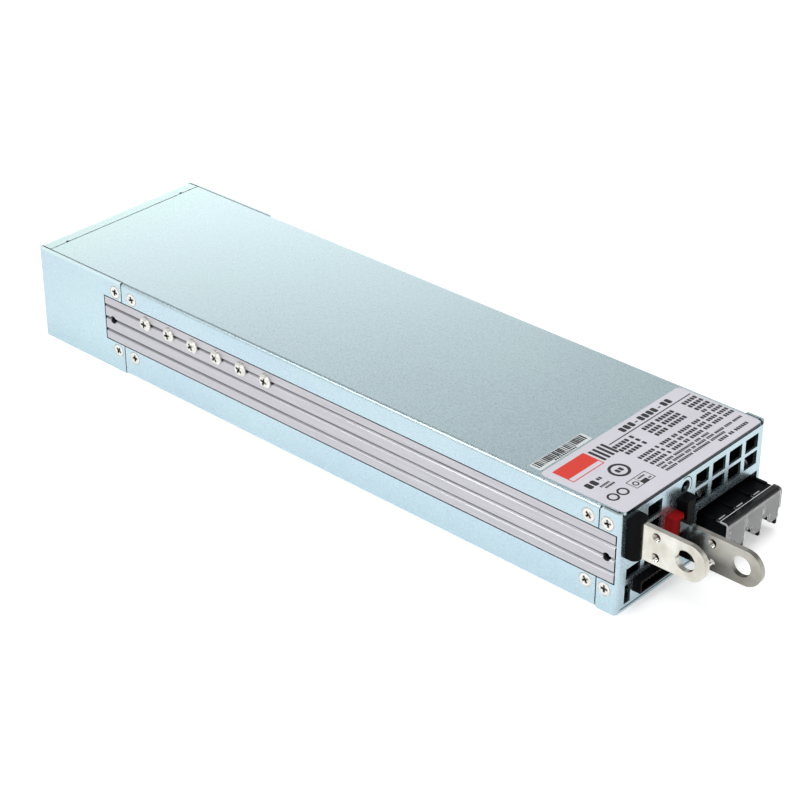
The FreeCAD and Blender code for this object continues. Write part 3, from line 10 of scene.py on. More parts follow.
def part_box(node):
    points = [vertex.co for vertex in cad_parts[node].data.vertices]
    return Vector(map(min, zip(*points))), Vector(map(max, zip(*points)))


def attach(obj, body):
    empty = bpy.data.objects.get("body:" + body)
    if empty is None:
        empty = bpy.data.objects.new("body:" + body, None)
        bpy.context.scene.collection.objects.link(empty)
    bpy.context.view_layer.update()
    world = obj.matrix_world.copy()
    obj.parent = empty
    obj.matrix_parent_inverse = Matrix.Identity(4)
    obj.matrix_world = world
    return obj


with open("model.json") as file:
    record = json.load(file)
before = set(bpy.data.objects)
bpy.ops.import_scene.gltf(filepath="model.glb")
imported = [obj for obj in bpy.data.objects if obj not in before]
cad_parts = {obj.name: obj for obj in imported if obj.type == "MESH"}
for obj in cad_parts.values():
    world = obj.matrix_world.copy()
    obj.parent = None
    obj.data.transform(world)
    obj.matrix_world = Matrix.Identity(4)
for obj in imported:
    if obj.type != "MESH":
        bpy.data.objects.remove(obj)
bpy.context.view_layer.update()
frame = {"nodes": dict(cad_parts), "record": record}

bl_info = {
    "name": "Enclosed power supply looks",
    "version": (1, 0, 0),
    "blender": (4, 5, 0),
    "location": "View3D > Sidebar > Power Supply",
    "description": "Finishes, printed fields and a stage for an enclosed power supply",
    "category": "Object",
}

MM = 0.001
FULL_TURN = 2 * math.pi
ACROSS = (1, 0, 0)
FORWARD = (0, -1, 0)
UPWARD = (0, 0, 1)

# Places read from the frame
LABEL_LOW, LABEL_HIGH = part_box("rating_label")
TAG_LOW, TAG_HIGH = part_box("barcode_label")
PANEL_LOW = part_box("front_panel")[0]
LID_LOW, LID_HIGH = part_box("top_cover")
RAIL_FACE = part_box("right_rail")[1].x
TRIMMER_LOW, TRIMMER_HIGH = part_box("trimmer_rotor")
BAR_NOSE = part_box("positive_busbar")[0].y
MOUNTS = {mount["name"]: mount for mount in frame["record"]["mounts"]}


# Settings

def colour(name, description, default):
    """Opaque colour setting of a finish."""
    return FloatVectorProperty(name=name, description=description, subtype="COLOR", size=4,
                               min=0.0, max=1.0, default=(*default, 1.0))


def length(name, description, default):
    """Length setting in metres."""
    return FloatProperty(name=name, description=description, unit="LENGTH", precision=6,
                         min=0.0, default=default)


def number(name, description, default):
    """Plain number setting."""
    return FloatProperty(name=name, description=description, default=default)


def angle(name, description, degrees):
    """Angle setting whose default is given in degrees."""
    return FloatProperty(name=name, description=description, subtype="ANGLE", default=math.radians(degrees))


class CaseFinishes(bpy.types.PropertyGroup):
    """Colours and grain of the metal pieces"""

    zinc: colour("Zinc", "Plated sheet of the case", (0.437, 0.570, 0.648))
    # The cover's top takes the next two colours, darker at the front and paler at the rear, while the sides
    # take the colour above: painted light, lit and shaded copies of one plating
    zinc_cover_shaded_front: colour("Cover front", "Passivated cover near the front", (0.447, 0.58, 0.63))
    zinc_cover_lit_rear: colour("Cover rear", "Passivated cover near the rear", (0.57, 0.71, 0.755))
    zinc_pale: colour("Pale zinc", "Paler grains of the plating", (0.68, 0.80, 0.85))
    zinc_tint: colour("Zinc tint", "Greenish patches of the plating", (0.55, 0.73, 0.69))
    # Paler sheet edges: wear, with painted highlights
    zinc_edge_wear_and_highlight: colour("Zinc edge", "Rubbed sheet edges", (0.84, 0.90, 0.92))
    # Near-black painted shade: in recesses and seams, and as a shadow line on the cover's sheared front edge
    zinc_painted_shade: colour("Cut edge", "Sheared front edge of the cover", (0.030, 0.034, 0.038))
    zinc_grain: length("Zinc grain", "Size of the plating's grains", 0.7 * MM)
    rail: colour("Rail", "Extruded side rail", (0.445, 0.442, 0.465))
    rail_pale: colour("Pale rail", "Die lines of the extrusion", (0.54, 0.535, 0.565))
    # Painted shade: darker groove depths and near-black inner faces
    rail_groove_shade: colour("Rail groove", "Dull depth of the grooves", (0.24, 0.24, 0.255))
    rail_inner_shade: colour("Inner rail", "Inner faces of the rail", (0.03, 0.03, 0.032))
    nickel: colour("Nickel", "Screw plating", (0.66, 0.65, 0.60))
    nickel_pale: colour("Pale nickel", "Worn screw plating", (0.82, 0.81, 0.77))
    tin: colour("Tin", "Plating of the output bars", (0.52, 0.50, 0.44))
    tin_pale: colour("Pale tin", "Bright patches of the bar plating", (0.71, 0.70, 0.65))
    gilt: colour("Gilt", "Signal contacts", (0.75, 0.55, 0.20))
    thread_pitch: length("Thread pitch", "Pitch of the tapped holes in the bars", 0.5 * MM)
    thread_depth: length("Thread depth", "How far the threads stand into their holes", 0.22 * MM)


class MouldedFinishes(bpy.types.PropertyGroup):
    """Colours of the plastic pieces and of the inner parts"""

    black: colour("Black", "Terminal block, connector, sleeves", (0.003, 0.003, 0.0036))
    red: colour("Red", "Sleeve of the positive bar", (0.29, 0.007, 0.008))
    clear: colour("Clear", "Flip-up cover", (0.96, 0.965, 0.975))
    # Pale strips on the cover's edges: painted highlights
    clear_highlight: colour("Clear edge", "Pale edges of the flip-up cover", (0.74, 0.75, 0.77))
    blue: colour("Blue", "Trimmer body", (0.012, 0.045, 0.16))
    ivory: colour("Ivory", "Trimmer rotor", (0.20, 0.195, 0.175))
    board: colour("Board", "Solder mask", (0.02, 0.13, 0.06))
    film: colour("Film", "Insulating sheet", (0.70, 0.70, 0.66))
    can: colour("Can sleeve", "Capacitor sleeve", (0.02, 0.02, 0.035))
    copper: colour("Copper", "Enamelled wire", (0.52, 0.20, 0.07))
    ferrite: colour("Ferrite", "Transformer core", (0.045, 0.045, 0.047))
    tape: colour("Tape", "Winding tape", (0.68, 0.52, 0.08))
    # The boxes are near-black, as painted shade inside the case
    box: colour("Box", "Film capacitor boxes", (0.05, 0.052, 0.06))
    glass: colour("Glass", "Fuse tube", (0.88, 0.90, 0.88))


class PrintSettings(bpy.types.PropertyGroup):
    """Label film and the plain printed fields"""

    film: colour("Label film", "Ground of the rating label", (0.61, 0.60, 0.655))
    tag: colour("Tag film", "Ground of the bar-code tag", (0.64, 0.68, 0.69))
    ink: colour("Ink", "Dark print", (0.010, 0.010, 0.012))
    red: colour("Red field", "Red field of the label", (0.66, 0.034, 0.018))
    proud: length("Print height", "How far print stands above its film", 0.02 * MM)
    tag_bars: IntProperty(name="Tag bars", description="Bars on the bar-code tag", default=26, min=8)


class StageSettings(bpy.types.PropertyGroup):
    """Camera, floor and lamps"""

    azimuth: number("Azimuth", "Camera heading, degrees from the front", -47.71)
    elevation: number("Elevation", "Camera height angle in degrees", 30.38)
    distance: length("Distance", "From the camera to its target", 837.3 * MM)
    focal: number("Focal length", "In pixels of the square image", 2202.3)
    target: FloatVectorProperty(name="Target", description="Point in the middle of the image", unit="LENGTH",
                                default=(-9.42 * MM, -20.85 * MM, 20.5 * MM))
    floor: colour("Floor", "Plain pale floor", (0.86, 0.86, 0.86))
    floor_size: length("Floor size", "Side of the floor", 6.0)
    floor_lift: number("Floor lift", "White added to the floor near the part, where it is seen", 0.42)
    floor_near: length("Floor near", "How far the floor around the part shows its shadow", 0.55)
    floor_far: length("Floor far", "Where the floor has turned plain white", 1.3)
    sky: number("Sky", "Strength of the even studio light", 0.5)
    horizon: angle("Horizon", "Elevation below which the studio wall is white", 20)
    ceiling: angle("Ceiling", "Elevation above which the studio is grey", 40)
    ceiling_grey: FloatProperty(name="Ceiling grey", description="Brightness of the studio overhead",
                                subtype="FACTOR", min=0.0, max=1.0, default=0.30)
    key_power: number("Key", "Watts of the large side lamp", 4.0)
    top_power: number("Top", "Watts of the overhead lamp", 7.0)
    rear_power: number("Rear", "Watts of the lamp behind the part", 1.0)
    bend_power: number("Bend", "Watts of the small lamp that the bends mirror", 4.0)


# Node helpers

def feed(tree, value, socket):
    """Links a socket to another, or sets it to a plain value."""
    if isinstance(value, bpy.types.NodeSocket):
        tree.links.new(value, socket)
    else:
        socket.default_value = value


def calculate(tree, operation, *values):
    """Result of one Math node on sockets or plain numbers."""
    node = tree.nodes.new("ShaderNodeMath")
    node.operation = operation
    for socket, value in zip(node.inputs, values):
        feed(tree, value, socket)
    return node.outputs[0]


def remap(tree, value, low=0.0, high=1.0, to_low=0.0, to_high=1.0):
    """Brings values between low and high to another range and holds them at its ends."""
    ramp = tree.nodes.new("ShaderNodeMapRange")
    tree.links.new(value, ramp.inputs["Value"])
    feed(tree, low, ramp.inputs["From Min"])
    feed(tree, high, ramp.inputs["From Max"])
    ramp.inputs["To Min"].default_value = to_low
    ramp.inputs["To Max"].default_value = to_high
    return ramp.outputs["Result"]


def noise_from(tree, vector, size, detail, roughness):
    """Noise whose features are about size across."""
    noise = tree.nodes.new("ShaderNodeTexNoise")
    noise.inputs["Detail"].default_value = detail
    noise.inputs["Roughness"].default_value = roughness
    tree.links.new(vector, noise.inputs["Vector"])
    tree.links.new(calculate(tree, "DIVIDE", 1.0, size), noise.inputs["Scale"])
    return noise.outputs["Fac"]


# Shader node groups shared by the finishes

STREAK_SQUEEZE = (1.0, 0.012, 1.0)
WEAR_SIZE = 2.0 * MM
WEAR_SAMPLES = 4
RECESS_SAMPLES = 6
RECESS_UNEVEN = 0.12


def node_group(name, values, results):
    """Empty shader group with a place, named values and results; returns the tree and its two end nodes."""
    tree = bpy.data.node_groups.new(name, "ShaderNodeTree")
    tree.interface.new_socket("Vector", in_out="INPUT", socket_type="NodeSocketVector")
    for label, value in values.items():
        socket = tree.interface.new_socket(label, in_out="INPUT", socket_type="NodeSocketFloat")
        socket.default_value = value
    for label in results:
        tree.interface.new_socket(label, in_out="OUTPUT", socket_type="NodeSocketFloat")
    return tree, tree.nodes.new("NodeGroupInput"), tree.nodes.new("NodeGroupOutput")


def noise_group(name, size, detail, roughness, low, high, squeeze=(1.0, 1.0, 1.0)):
    """Noise as a mask, stretched from a narrow band of values, and as a height."""
    tree, start, end = node_group(name, {"Size": size}, ("Mask", "Height"))
    squeezed = tree.nodes.new("ShaderNodeMapping")
    squeezed.inputs["Scale"].default_value = squeeze
    tree.links.new(start.outputs["Vector"], squeezed.inputs["Vector"])
    noise = noise_from(tree, squeezed.outputs["Vector"], start.outputs["Size"], detail, roughness)
    tree.links.new(remap(tree, noise, low, high), end.inputs["Mask"])
    tree.links.new(noise, end.inputs["Height"])
    return tree


def grain_group():
    """Fine speckle of plating, film and moulded skins."""
    return noise_group("Fine grain", 0.7 * MM, detail=3.0, roughness=0.62, low=0.36, high=0.64)


def patch_group():
    """Broad soft patches: handling marks, passivation and uneven colour."""
    return noise_group("Soft patches", 30.0 * MM, detail=2.0, roughness=0.5, low=0.35, high=0.68)


def streak_group():
    """Long thin lines along the case, as rolling and extrusion leave them."""
    return noise_group("Drawn streaks", 0.4 * MM, detail=4.0, roughness=0.6, low=0.36, high=0.66,
                       squeeze=STREAK_SQUEEZE)


def edge_group():
    """Mask for edges, which the finishes use for wear and for painted highlights and shade lines: where the
    rounded normal leaves the true one, broken up by noise.
    """
    tree, start, end = node_group("Rubbed edges", {"Width": 0.35 * MM}, ("Mask",))
    rounded = tree.nodes.new("ShaderNodeBevel")
    rounded.samples = WEAR_SAMPLES
    tree.links.new(start.outputs["Width"], rounded.inputs["Radius"])
    true = tree.nodes.new("ShaderNodeNewGeometry")
    agreement = tree.nodes.new("ShaderNodeVectorMath")
    agreement.operation = "DOT_PRODUCT"
    tree.links.new(rounded.outputs["Normal"], agreement.inputs[0])
    tree.links.new(true.outputs["True Normal"], agreement.inputs[1])
    edge = remap(tree, agreement.outputs["Value"], low=0.99, high=0.86)
    noise = tree.nodes.new("ShaderNodeTexNoise")
    noise.inputs["Scale"].default_value = 1.0 / WEAR_SIZE
    tree.links.new(start.outputs["Vector"], noise.inputs["Vector"])
    wear = remap(tree, noise.outputs["Fac"], low=0.30, high=0.60)
    tree.links.new(calculate(tree, "MULTIPLY", edge, wear), end.inputs["Mask"])
    return tree


def recess_group():
    """Painted shade, with some dust, in recesses and seams."""
    tree, start, end = node_group("Dark recesses", {"Reach": 1.0 * MM}, ("Mask",))
    near = tree.nodes.new("ShaderNodeAmbientOcclusion")
    near.samples = RECESS_SAMPLES
    near.only_local = True
    tree.links.new(start.outputs["Reach"], near.inputs["Distance"])
    noise = noise_from(tree, start.outputs["Vector"], start.outputs["Reach"], detail=2.0, roughness=0.5)
    uneven = calculate(tree, "MULTIPLY_ADD", noise, RECESS_UNEVEN, near.outputs["AO"])
    tree.links.new(remap(tree, uneven, low=0.80, high=0.42), end.inputs["Mask"])
    return tree


def span_group():
    """How far a place lies between two distances: out from the middle plane, along the case and upwards."""
    tree, start, end = node_group("Case span", {"Low": 0.0, "High": 1.0}, ("Out", "Along", "Up"))
    parts = tree.nodes.new("ShaderNodeSeparateXYZ")
    tree.links.new(start.outputs["Vector"], parts.inputs["Vector"])
    out = calculate(tree, "ABSOLUTE", parts.outputs["X"])
    for name, value in (("Out", out), ("Along", parts.outputs["Y"]), ("Up", parts.outputs["Z"])):
        tree.links.new(remap(tree, value, start.outputs["Low"], start.outputs["High"]), end.inputs[name])
    return tree


GROUP_MAKERS = {
    "grain": grain_group,
    "patch": patch_group,
    "streak": streak_group,
    "edge": edge_group,
    "recess": recess_group,
    "span": span_group,
}
made_groups = {}


def shared_group(kind):
    """One of the shared groups, made when it is first asked for."""
    if kind not in made_groups:
        made_groups[kind] = GROUP_MAKERS[kind]()
    return made_groups[kind]


# Colour sockets of a Mix node, which has hidden twins for other data types
MIX_COLOURS = slice(6, 8)
MIX_RESULT = 2


class Finish:
    """Material under construction: one Principled shader and short calls that wire effects into it."""

    def __init__(self, name, base, roughness, metallic=0.0):
        self.material = bpy.data.materials.new(name)
        self.material.use_nodes = True
        self.tree = self.material.node_tree
        self.tree.nodes.clear()
        self.output = self.tree.nodes.new("ShaderNodeOutputMaterial")
        self.shader = self.tree.nodes.new("ShaderNodeBsdfPrincipled")
        self.tree.links.new(self.shader.outputs["BSDF"], self.output.inputs["Surface"])
        self.place = self.tree.nodes.new("ShaderNodeTexCoord").outputs["Object"]
        self.shader.inputs["Base Color"].default_value = base
        self.shader.inputs["Roughness"].default_value = roughness
        self.shader.inputs["Metallic"].default_value = metallic

    def effect(self, kind, **values):
        """Places a shared group, sets its named values and returns its outputs."""
        node = self.tree.nodes.new("ShaderNodeGroup")
        node.node_tree = shared_group(kind)
        self.tree.links.new(self.place, node.inputs["Vector"])
        for label, value in values.items():
            node.inputs[label.capitalize()].default_value = value
        return node.outputs

    def span(self, direction, low, high):
        """Mask that grows from low to high, out, along or up the case."""
        return self.effect("span", low=low, high=high)[direction]

    def both(self, first, second):
        """Mask where two masks meet."""
        return calculate(self.tree, "MULTIPLY", first, second)

    def mix(self, mask, low, high, amount=1.0):
        """Colour between two colours or colour sockets."""
        node = self.tree.nodes.new("ShaderNodeMix")
        node.data_type = "RGBA"
        if amount < 1.0:
            mask = calculate(self.tree, "MULTIPLY", mask, amount)
        self.tree.links.new(mask, node.inputs["Factor"])
        for socket, value in zip(node.inputs[MIX_COLOURS], (low, high)):
            feed(self.tree, value, socket)
        return node.outputs[MIX_RESULT]

    def paint(self, socket):
        """Takes the colour from a socket."""
        self.tree.links.new(socket, self.shader.inputs["Base Color"])

    def roughness(self, mask, low, high):
        """Varies the roughness by a mask."""
        self.tree.links.new(remap(self.tree, mask, to_low=low, to_high=high), self.shader.inputs["Roughness"])

    def bump(self, height, strength, depth):
        """Raises the surface by a height."""
        node = self.tree.nodes.new("ShaderNodeBump")
        node.inputs["Strength"].default_value = strength
        node.inputs["Distance"].default_value = depth
        self.tree.links.new(height, node.inputs["Height"])
        self.tree.links.new(node.outputs["Normal"], self.shader.inputs["Normal"])


def shade(base, factor):
    """A colour made darker or paler."""
    return tuple(min(1.0, part * factor) for part in base[:3]) + (1.0,)


# Finishes

# Depths under the cover's top where its own top colours, painted light, start and where they are full
TOP_LIGHT_STARTS = 1.4 * MM
TOP_LIGHT_FULL = 0.2 * MM
# Greenish rear end of the cover: from inside its rear edge to a point past it
GREEN_STARTS = 25 * MM
GREEN_PAST_REAR = 5 * MM
# Sheared front edge of the cover, painted near-black as a shadow line: a thin skin, over the sheet's own
# thickness
CUT_SKIN = 0.06 * MM
CUT_SKIN_FULL = 0.02 * MM
CUT_FOOT = 1.3 * MM
CUT_FOOT_FULL = 1.1 * MM


def zinc_finish(name, settings, roughness, relief):
    """Plated sheet: bluish sides and a top coloured apart from them, darker at the front and paler at the
    rear, which is painted light; worn edges with painted highlights, painted shade with dust in recesses, and
    a painted shadow line on the cover's sheared front edge.
    """
    finish = Finish(name, settings.zinc, roughness, metallic=0.92)
    grain = finish.effect("grain", size=settings.zinc_grain)
    patch = finish.effect("patch", size=45 * MM)
    edge = finish.effect("edge", width=0.3 * MM)
    recess = finish.effect("recess", reach=1.2 * MM)
    # Painted light: the top faces get colours of their own, apart from the sides
    on_top = finish.span("Up", LID_HIGH.z - TOP_LIGHT_STARTS, LID_HIGH.z - TOP_LIGHT_FULL)
    to_rear = finish.span("Along", LID_LOW.y, LID_HIGH.y)
    at_rear = finish.span("Along", LID_HIGH.y - GREEN_STARTS, LID_HIGH.y + GREEN_PAST_REAR)
    at_front = finish.span("Along", LID_LOW.y + CUT_SKIN, LID_LOW.y + CUT_SKIN_FULL)
    at_cut = finish.span("Up", LID_HIGH.z - CUT_FOOT, LID_HIGH.z - CUT_FOOT_FULL)
    # Painted light: the cover runs from darker at the front to paler at the rear
    painted_light_drift = finish.mix(to_rear, settings.zinc_cover_shaded_front, settings.zinc_cover_lit_rear)
    cover = finish.mix(at_rear, painted_light_drift, settings.zinc_tint, amount=0.7)
    ground = finish.mix(on_top, settings.zinc, cover)
    tinted = finish.mix(patch["Mask"], ground, settings.zinc_tint, amount=0.2)
    speckle = finish.mix(grain["Mask"], tinted, settings.zinc_pale, amount=0.18)
    # Paler edges: wear, with painted highlights
    edge_wear_and_shading = finish.mix(edge["Mask"], speckle, settings.zinc_edge_wear_and_highlight, amount=0.6)
    # Painted shade, with some dust, in recesses and seams
    shaded = finish.mix(recess["Mask"], edge_wear_and_shading, settings.zinc_painted_shade, amount=0.8)
    # Painted shadow line on the sheared front edge of the cover
    finish.paint(finish.mix(finish.both(at_front, at_cut), shaded, settings.zinc_painted_shade))
    finish.roughness(grain["Mask"], low=roughness * 0.87, high=roughness * 1.13)
    finish.bump(grain["Height"], strength=relief, depth=0.05 * MM)
    return finish.material


# Skin of a face that keeps its full colour, and depths behind it where painted shade darkens grooves, slots
# and inner faces
FACE_SKIN = 0.05 * MM
GROOVE_SHADE_DEPTH = 0.3 * MM
SLOT_SHADE_DEPTH = 0.25 * MM
RAIL_INNER = 1.9 * MM
RAIL_OUTER = 1.6 * MM


def rail_finish(settings):
    """Extrusion with die lines, bright outside, with painted edge highlights; painted shade darkens its
    grooves and its inner faces.
    """
    finish = Finish("rail_aluminium", settings.rail, roughness=0.4, metallic=0.9)
    streak = finish.effect("streak", size=0.5 * MM)
    edge = finish.effect("edge", width=0.25 * MM)
    at_face = finish.span("Out", RAIL_FACE - GROOVE_SHADE_DEPTH, RAIL_FACE - FACE_SKIN)
    outside = finish.span("Out", RAIL_FACE - RAIL_INNER, RAIL_FACE - RAIL_OUTER)
    drawn = finish.mix(streak["Mask"], settings.rail, settings.rail_pale)
    # Paler edges: wear, with painted highlights
    edge_wear_and_shading = finish.mix(edge["Mask"], drawn, shade(settings.rail_pale, 1.2), amount=0.6)
    # Painted shade in the grooves
    grooved = finish.mix(at_face, settings.rail_groove_shade, edge_wear_and_shading)
    # Near-black painted shade on the inner faces
    finish.paint(finish.mix(outside, settings.rail_inner_shade, grooved))
    finish.roughness(streak["Mask"], low=0.34, high=0.48)
    finish.bump(streak["Height"], strength=0.15, depth=0.05 * MM)
    return finish.material


# Painted shade and reflections on the positive bar: their length from the panel, their heights about the
# taps, their end past the nose
BAR_ROOT_SHADE = 20 * MM
REFLECTION_TOP = 4 * MM
REFLECTION_FOOT = -3 * MM
REFLECTION_PAST_NOSE = 8 * MM


def bar_painted_reflections(finish, plain, dull):
    """Painted shade and reflections on the positive bar: dark at the panel and in its lower half, thinning
    towards the nose.
    """
    taps = Vector(MOUNTS["positive_bar_taps"]["pos_m"])
    away = finish.span("Along", PANEL_LOW.y, PANEL_LOW.y - BAR_ROOT_SHADE)
    below = finish.span("Up", taps.z + REFLECTION_TOP, taps.z + REFLECTION_FOOT)
    inner = finish.span("Along", BAR_NOSE - REFLECTION_PAST_NOSE, taps.y)
    with_painted_reflections = finish.mix(finish.both(below, inner), plain, shade(dull, 0.15))
    return finish.mix(away, shade(dull, 0.1), with_painted_reflections)


def plated_finish(name, dull, bright, patch_size, roughness, rim=1.1, rim_width=0.2 * MM, with_painted_reflections=False):
    """Bright plating with uneven gloss; rim makes its edges paler or darker: paler edges are wear with
    painted highlights, darker ones painted shade lines. Recesses get painted shade with dust.
    """
    finish = Finish(name, dull, roughness, metallic=0.95)
    patch = finish.effect("patch", size=patch_size)
    grain = finish.effect("grain", size=0.5 * MM)
    edge = finish.effect("edge", width=rim_width)
    recess = finish.effect("recess", reach=1.0 * MM)
    uneven = finish.mix(patch["Mask"], dull, bright)
    if with_painted_reflections:
        # Painted shade and reflections on the positive bar
        uneven = bar_painted_reflections(finish, uneven, dull)
    # Edges: wear with painted highlights, and painted shade lines where rim is below one
    edge_wear_and_shading = finish.mix(edge["Mask"], uneven, shade(bright, rim), amount=0.8)
    # Painted shade, with some dust, in recesses
    finish.paint(finish.mix(recess["Mask"], edge_wear_and_shading, shade(dull, 0.06), amount=0.95))
    finish.roughness(patch["Mask"], low=roughness * 1.3, high=roughness * 0.7)
    finish.bump(grain["Height"], strength=0.08, depth=0.04 * MM)
    return finish.material


def moulded_finish(name, base, roughness, grain_size=0.35 * MM, face=None):
    """Moulded plastic with a fine eroded skin and paler edges, which are painted highlights; painted shade
    behind a front face, if one is given.
    """
    finish = Finish(name, base, roughness)
    finish.shader.inputs["Specular IOR Level"].default_value = 0.05
    grain = finish.effect("grain", size=grain_size)
    patch = finish.effect("patch", size=8 * MM)
    edge = finish.effect("edge", width=0.25 * MM)
    uneven = finish.mix(patch["Mask"], shade(base, 0.85), shade(base, 1.15))
    # Paler edges: painted highlights
    edge_wear_and_shading = finish.mix(edge["Mask"], uneven, shade(base, 2.2), amount=0.5)
    if face is not None:
        # Painted shade in the slot behind the front face
        at_face = finish.span("Along", face + SLOT_SHADE_DEPTH, face + FACE_SKIN)
        edge_wear_and_shading = finish.mix(at_face, shade(base, 0.05), edge_wear_and_shading)
    finish.paint(edge_wear_and_shading)
    finish.roughness(grain["Mask"], low=roughness * 0.85, high=roughness * 1.2)
    finish.bump(grain["Height"], strength=0.18, depth=0.05 * MM)
    return finish.material


def board_finish(base):
    """Solder mask over copper tracks."""
    finish = Finish("solder_mask", base, roughness=0.3)
    grain = finish.effect("grain", size=1.6 * MM)
    patch = finish.effect("patch", size=6 * MM)
    tracks = finish.mix(patch["Mask"], base, shade(base, 1.9))
    finish.paint(finish.mix(grain["Mask"], tracks, shade(base, 0.8), amount=0.3))
    finish.roughness(patch["Mask"], low=0.22, high=0.4)
    finish.bump(patch["Mask"], strength=0.2, depth=0.05 * MM)
    return finish.material


def winding_finish(name, base):
    """Enamelled wire."""
    finish = Finish(name, base, roughness=0.3, metallic=0.7)
    patch = finish.effect("patch", size=3 * MM)
    finish.paint(finish.mix(patch["Mask"], shade(base, 0.7), shade(base, 1.4)))
    finish.roughness(patch["Mask"], low=0.24, high=0.42)
    return finish.material


# Blend at the lower edge of the clear cover's painted dark strip
DARK_STRIP_BLEND = 0.2 * MM


def clear_finish(name, base, roughness, milk, dark_from=None):
    """Clear moulding with a faint haze that lets lamp light through; its part above dark_from is painted
    dark, in place of the black block seen through it, and its edges get painted highlights.
    """
    finish = Finish(name, base, roughness)
    finish.shader.inputs["Transmission Weight"].default_value = 1.0 - milk
    finish.shader.inputs["IOR"].default_value = 1.4
    patch = finish.effect("patch", size=4 * MM)
    hazy = finish.mix(patch["Mask"], shade(base, 0.96), base)
    if dark_from is not None:
        # Painted dark strip, in place of the black block seen through the cover
        dark_strip = finish.span("Up", dark_from - DARK_STRIP_BLEND, dark_from + DARK_STRIP_BLEND)
        hazy = finish.mix(dark_strip, hazy, shade(base, 0.05))
    edge = finish.effect("edge", width=0.3 * MM)
    # Paler edges: painted highlights
    finish.paint(finish.mix(edge["Mask"], hazy, base, amount=0.7))
    finish.roughness(patch["Mask"], low=roughness * 0.5, high=roughness * 1.6)
    path = finish.tree.nodes.new("ShaderNodeLightPath")
    passed = finish.tree.nodes.new("ShaderNodeBsdfTransparent")
    passed.inputs["Color"].default_value = shade(base, 0.85)
    chosen = finish.tree.nodes.new("ShaderNodeMixShader")
    finish.tree.links.new(path.outputs["Is Shadow Ray"], chosen.inputs["Fac"])
    finish.tree.links.new(finish.shader.outputs["BSDF"], chosen.inputs[1])
    finish.tree.links.new(passed.outputs["BSDF"], chosen.inputs[2])
    finish.tree.links.new(chosen.outputs["Shader"], finish.output.inputs["Surface"])
    return finish.material


def film_finish(name, base, roughness):
    """Printed film with a satin face."""
    finish = Finish(name, base, roughness)
    finish.shader.inputs["Specular IOR Level"].default_value = 0.3
    grain = finish.effect("grain", size=0.25 * MM)
    patch = finish.effect("patch", size=20 * MM)
    uneven = finish.mix(patch["Mask"], shade(base, 0.96), shade(base, 1.04))
    finish.paint(finish.mix(grain["Mask"], uneven, shade(base, 1.06), amount=0.4))
    finish.roughness(grain["Mask"], low=roughness * 0.9, high=roughness * 1.1)
    finish.bump(grain["Height"], strength=0.05, depth=0.02 * MM)
    return finish.material


def dress(material, *names):
    """Gives CAD nodes a finish, in the one slot that each has."""
    for name in names:
        frame["nodes"][name].material_slots[0].material = material


# Mesh helpers

# A round corner stays just short of half the plate, so that its ends keep apart
CORNER_LIMIT = 0.49
CORNER_STEPS = 4
RING_STEPS = 48


def new_piece(name, mesh_data, material, body):
    """Turns a bmesh into a piece that rides on a body."""
    bmesh.ops.recalc_face_normals(mesh_data, faces=mesh_data.faces)
    mesh = bpy.data.meshes.new(name)
    mesh_data.to_mesh(mesh)
    mesh_data.free()
    mesh.materials.append(material)
    piece = bpy.data.objects.new(name, mesh)
    bpy.context.scene.collection.objects.link(piece)
    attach(piece, body)


def add_slab(mesh_data, low, high, corner=0.0):
    """Plate between two corners, with round upright edges where a radius is given."""
    size = Vector(high) - Vector(low)
    middle = (Vector(high) + Vector(low)) / 2
    place = Matrix.Translation(middle) @ Matrix.Diagonal((*size, 1.0))
    made = bmesh.ops.create_cube(mesh_data, size=1.0, matrix=place)
    if corner > 0:
        upright = set()
        for vert in made["verts"]:
            for edge in vert.link_edges:
                along = edge.verts[0].co - edge.verts[1].co
                if abs(along.z) > max(abs(along.x), abs(along.y)):
                    upright.add(edge)
        offset = min(corner, min(size.x, size.y) * CORNER_LIMIT)
        bmesh.ops.bevel(mesh_data, geom=list(upright), offset=offset, segments=CORNER_STEPS, profile=0.5,
                        affect="EDGES", material=-1)


def add_ring(mesh_data, centre, axis, profile, turn=FULL_TURN, steps=RING_STEPS):
    """Closed profile spun about an axis; a part turn keeps its two end faces."""
    verts = [mesh_data.verts.new(point) for point in profile]
    face = mesh_data.faces.new(verts)
    if turn < FULL_TURN:
        bmesh.ops.spin(mesh_data, geom=[face], cent=centre, axis=axis, angle=turn, steps=steps)
        return
    edges = list(face.edges)
    mesh_data.faces.remove(face)
    bmesh.ops.spin(mesh_data, geom=verts + edges, cent=centre, axis=axis, angle=turn, steps=steps,
                   use_merge=True)


def add_prism(mesh_data, profile, pull):
    """Closed profile pulled along a vector."""
    near = [mesh_data.verts.new(point) for point in profile]
    far = [mesh_data.verts.new(Vector(point) + Vector(pull)) for point in profile]
    mesh_data.faces.new(near)
    mesh_data.faces.new(list(reversed(far)))
    for i, vert in enumerate(near):
        following = (i + 1) % len(near)
        mesh_data.faces.new((vert, far[i], far[following], near[following]))


# Case, rails and fasteners

class PSU_OT_case_sheets(bpy.types.Operator):
    """Plated finish on the tray, cover, front panel and rear cap"""

    bl_idname = "psu.case_sheets"
    bl_label = "Case sheets"

    def execute(self, context):
        metal = context.scene.case_finishes
        sheet = zinc_finish("zinc_sheet", metal, roughness=0.3, relief=0.025)
        panel = zinc_finish("zinc_panel", metal, roughness=0.26, relief=0.008)
        dress(sheet, "bottom_tray", "top_cover", "rear_panel")
        dress(panel, "front_panel")
        return {"FINISHED"}


class PSU_OT_rails(bpy.types.Operator):
    """Drawn finish on both side rails"""

    bl_idname = "psu.rails"
    bl_label = "Side rails"

    def execute(self, context):
        dress(rail_finish(context.scene.case_finishes), "left_rail", "right_rail")
        return {"FINISHED"}


SCREW_PATCH = 2 * MM
SCREW_ROUGHNESS = 0.28
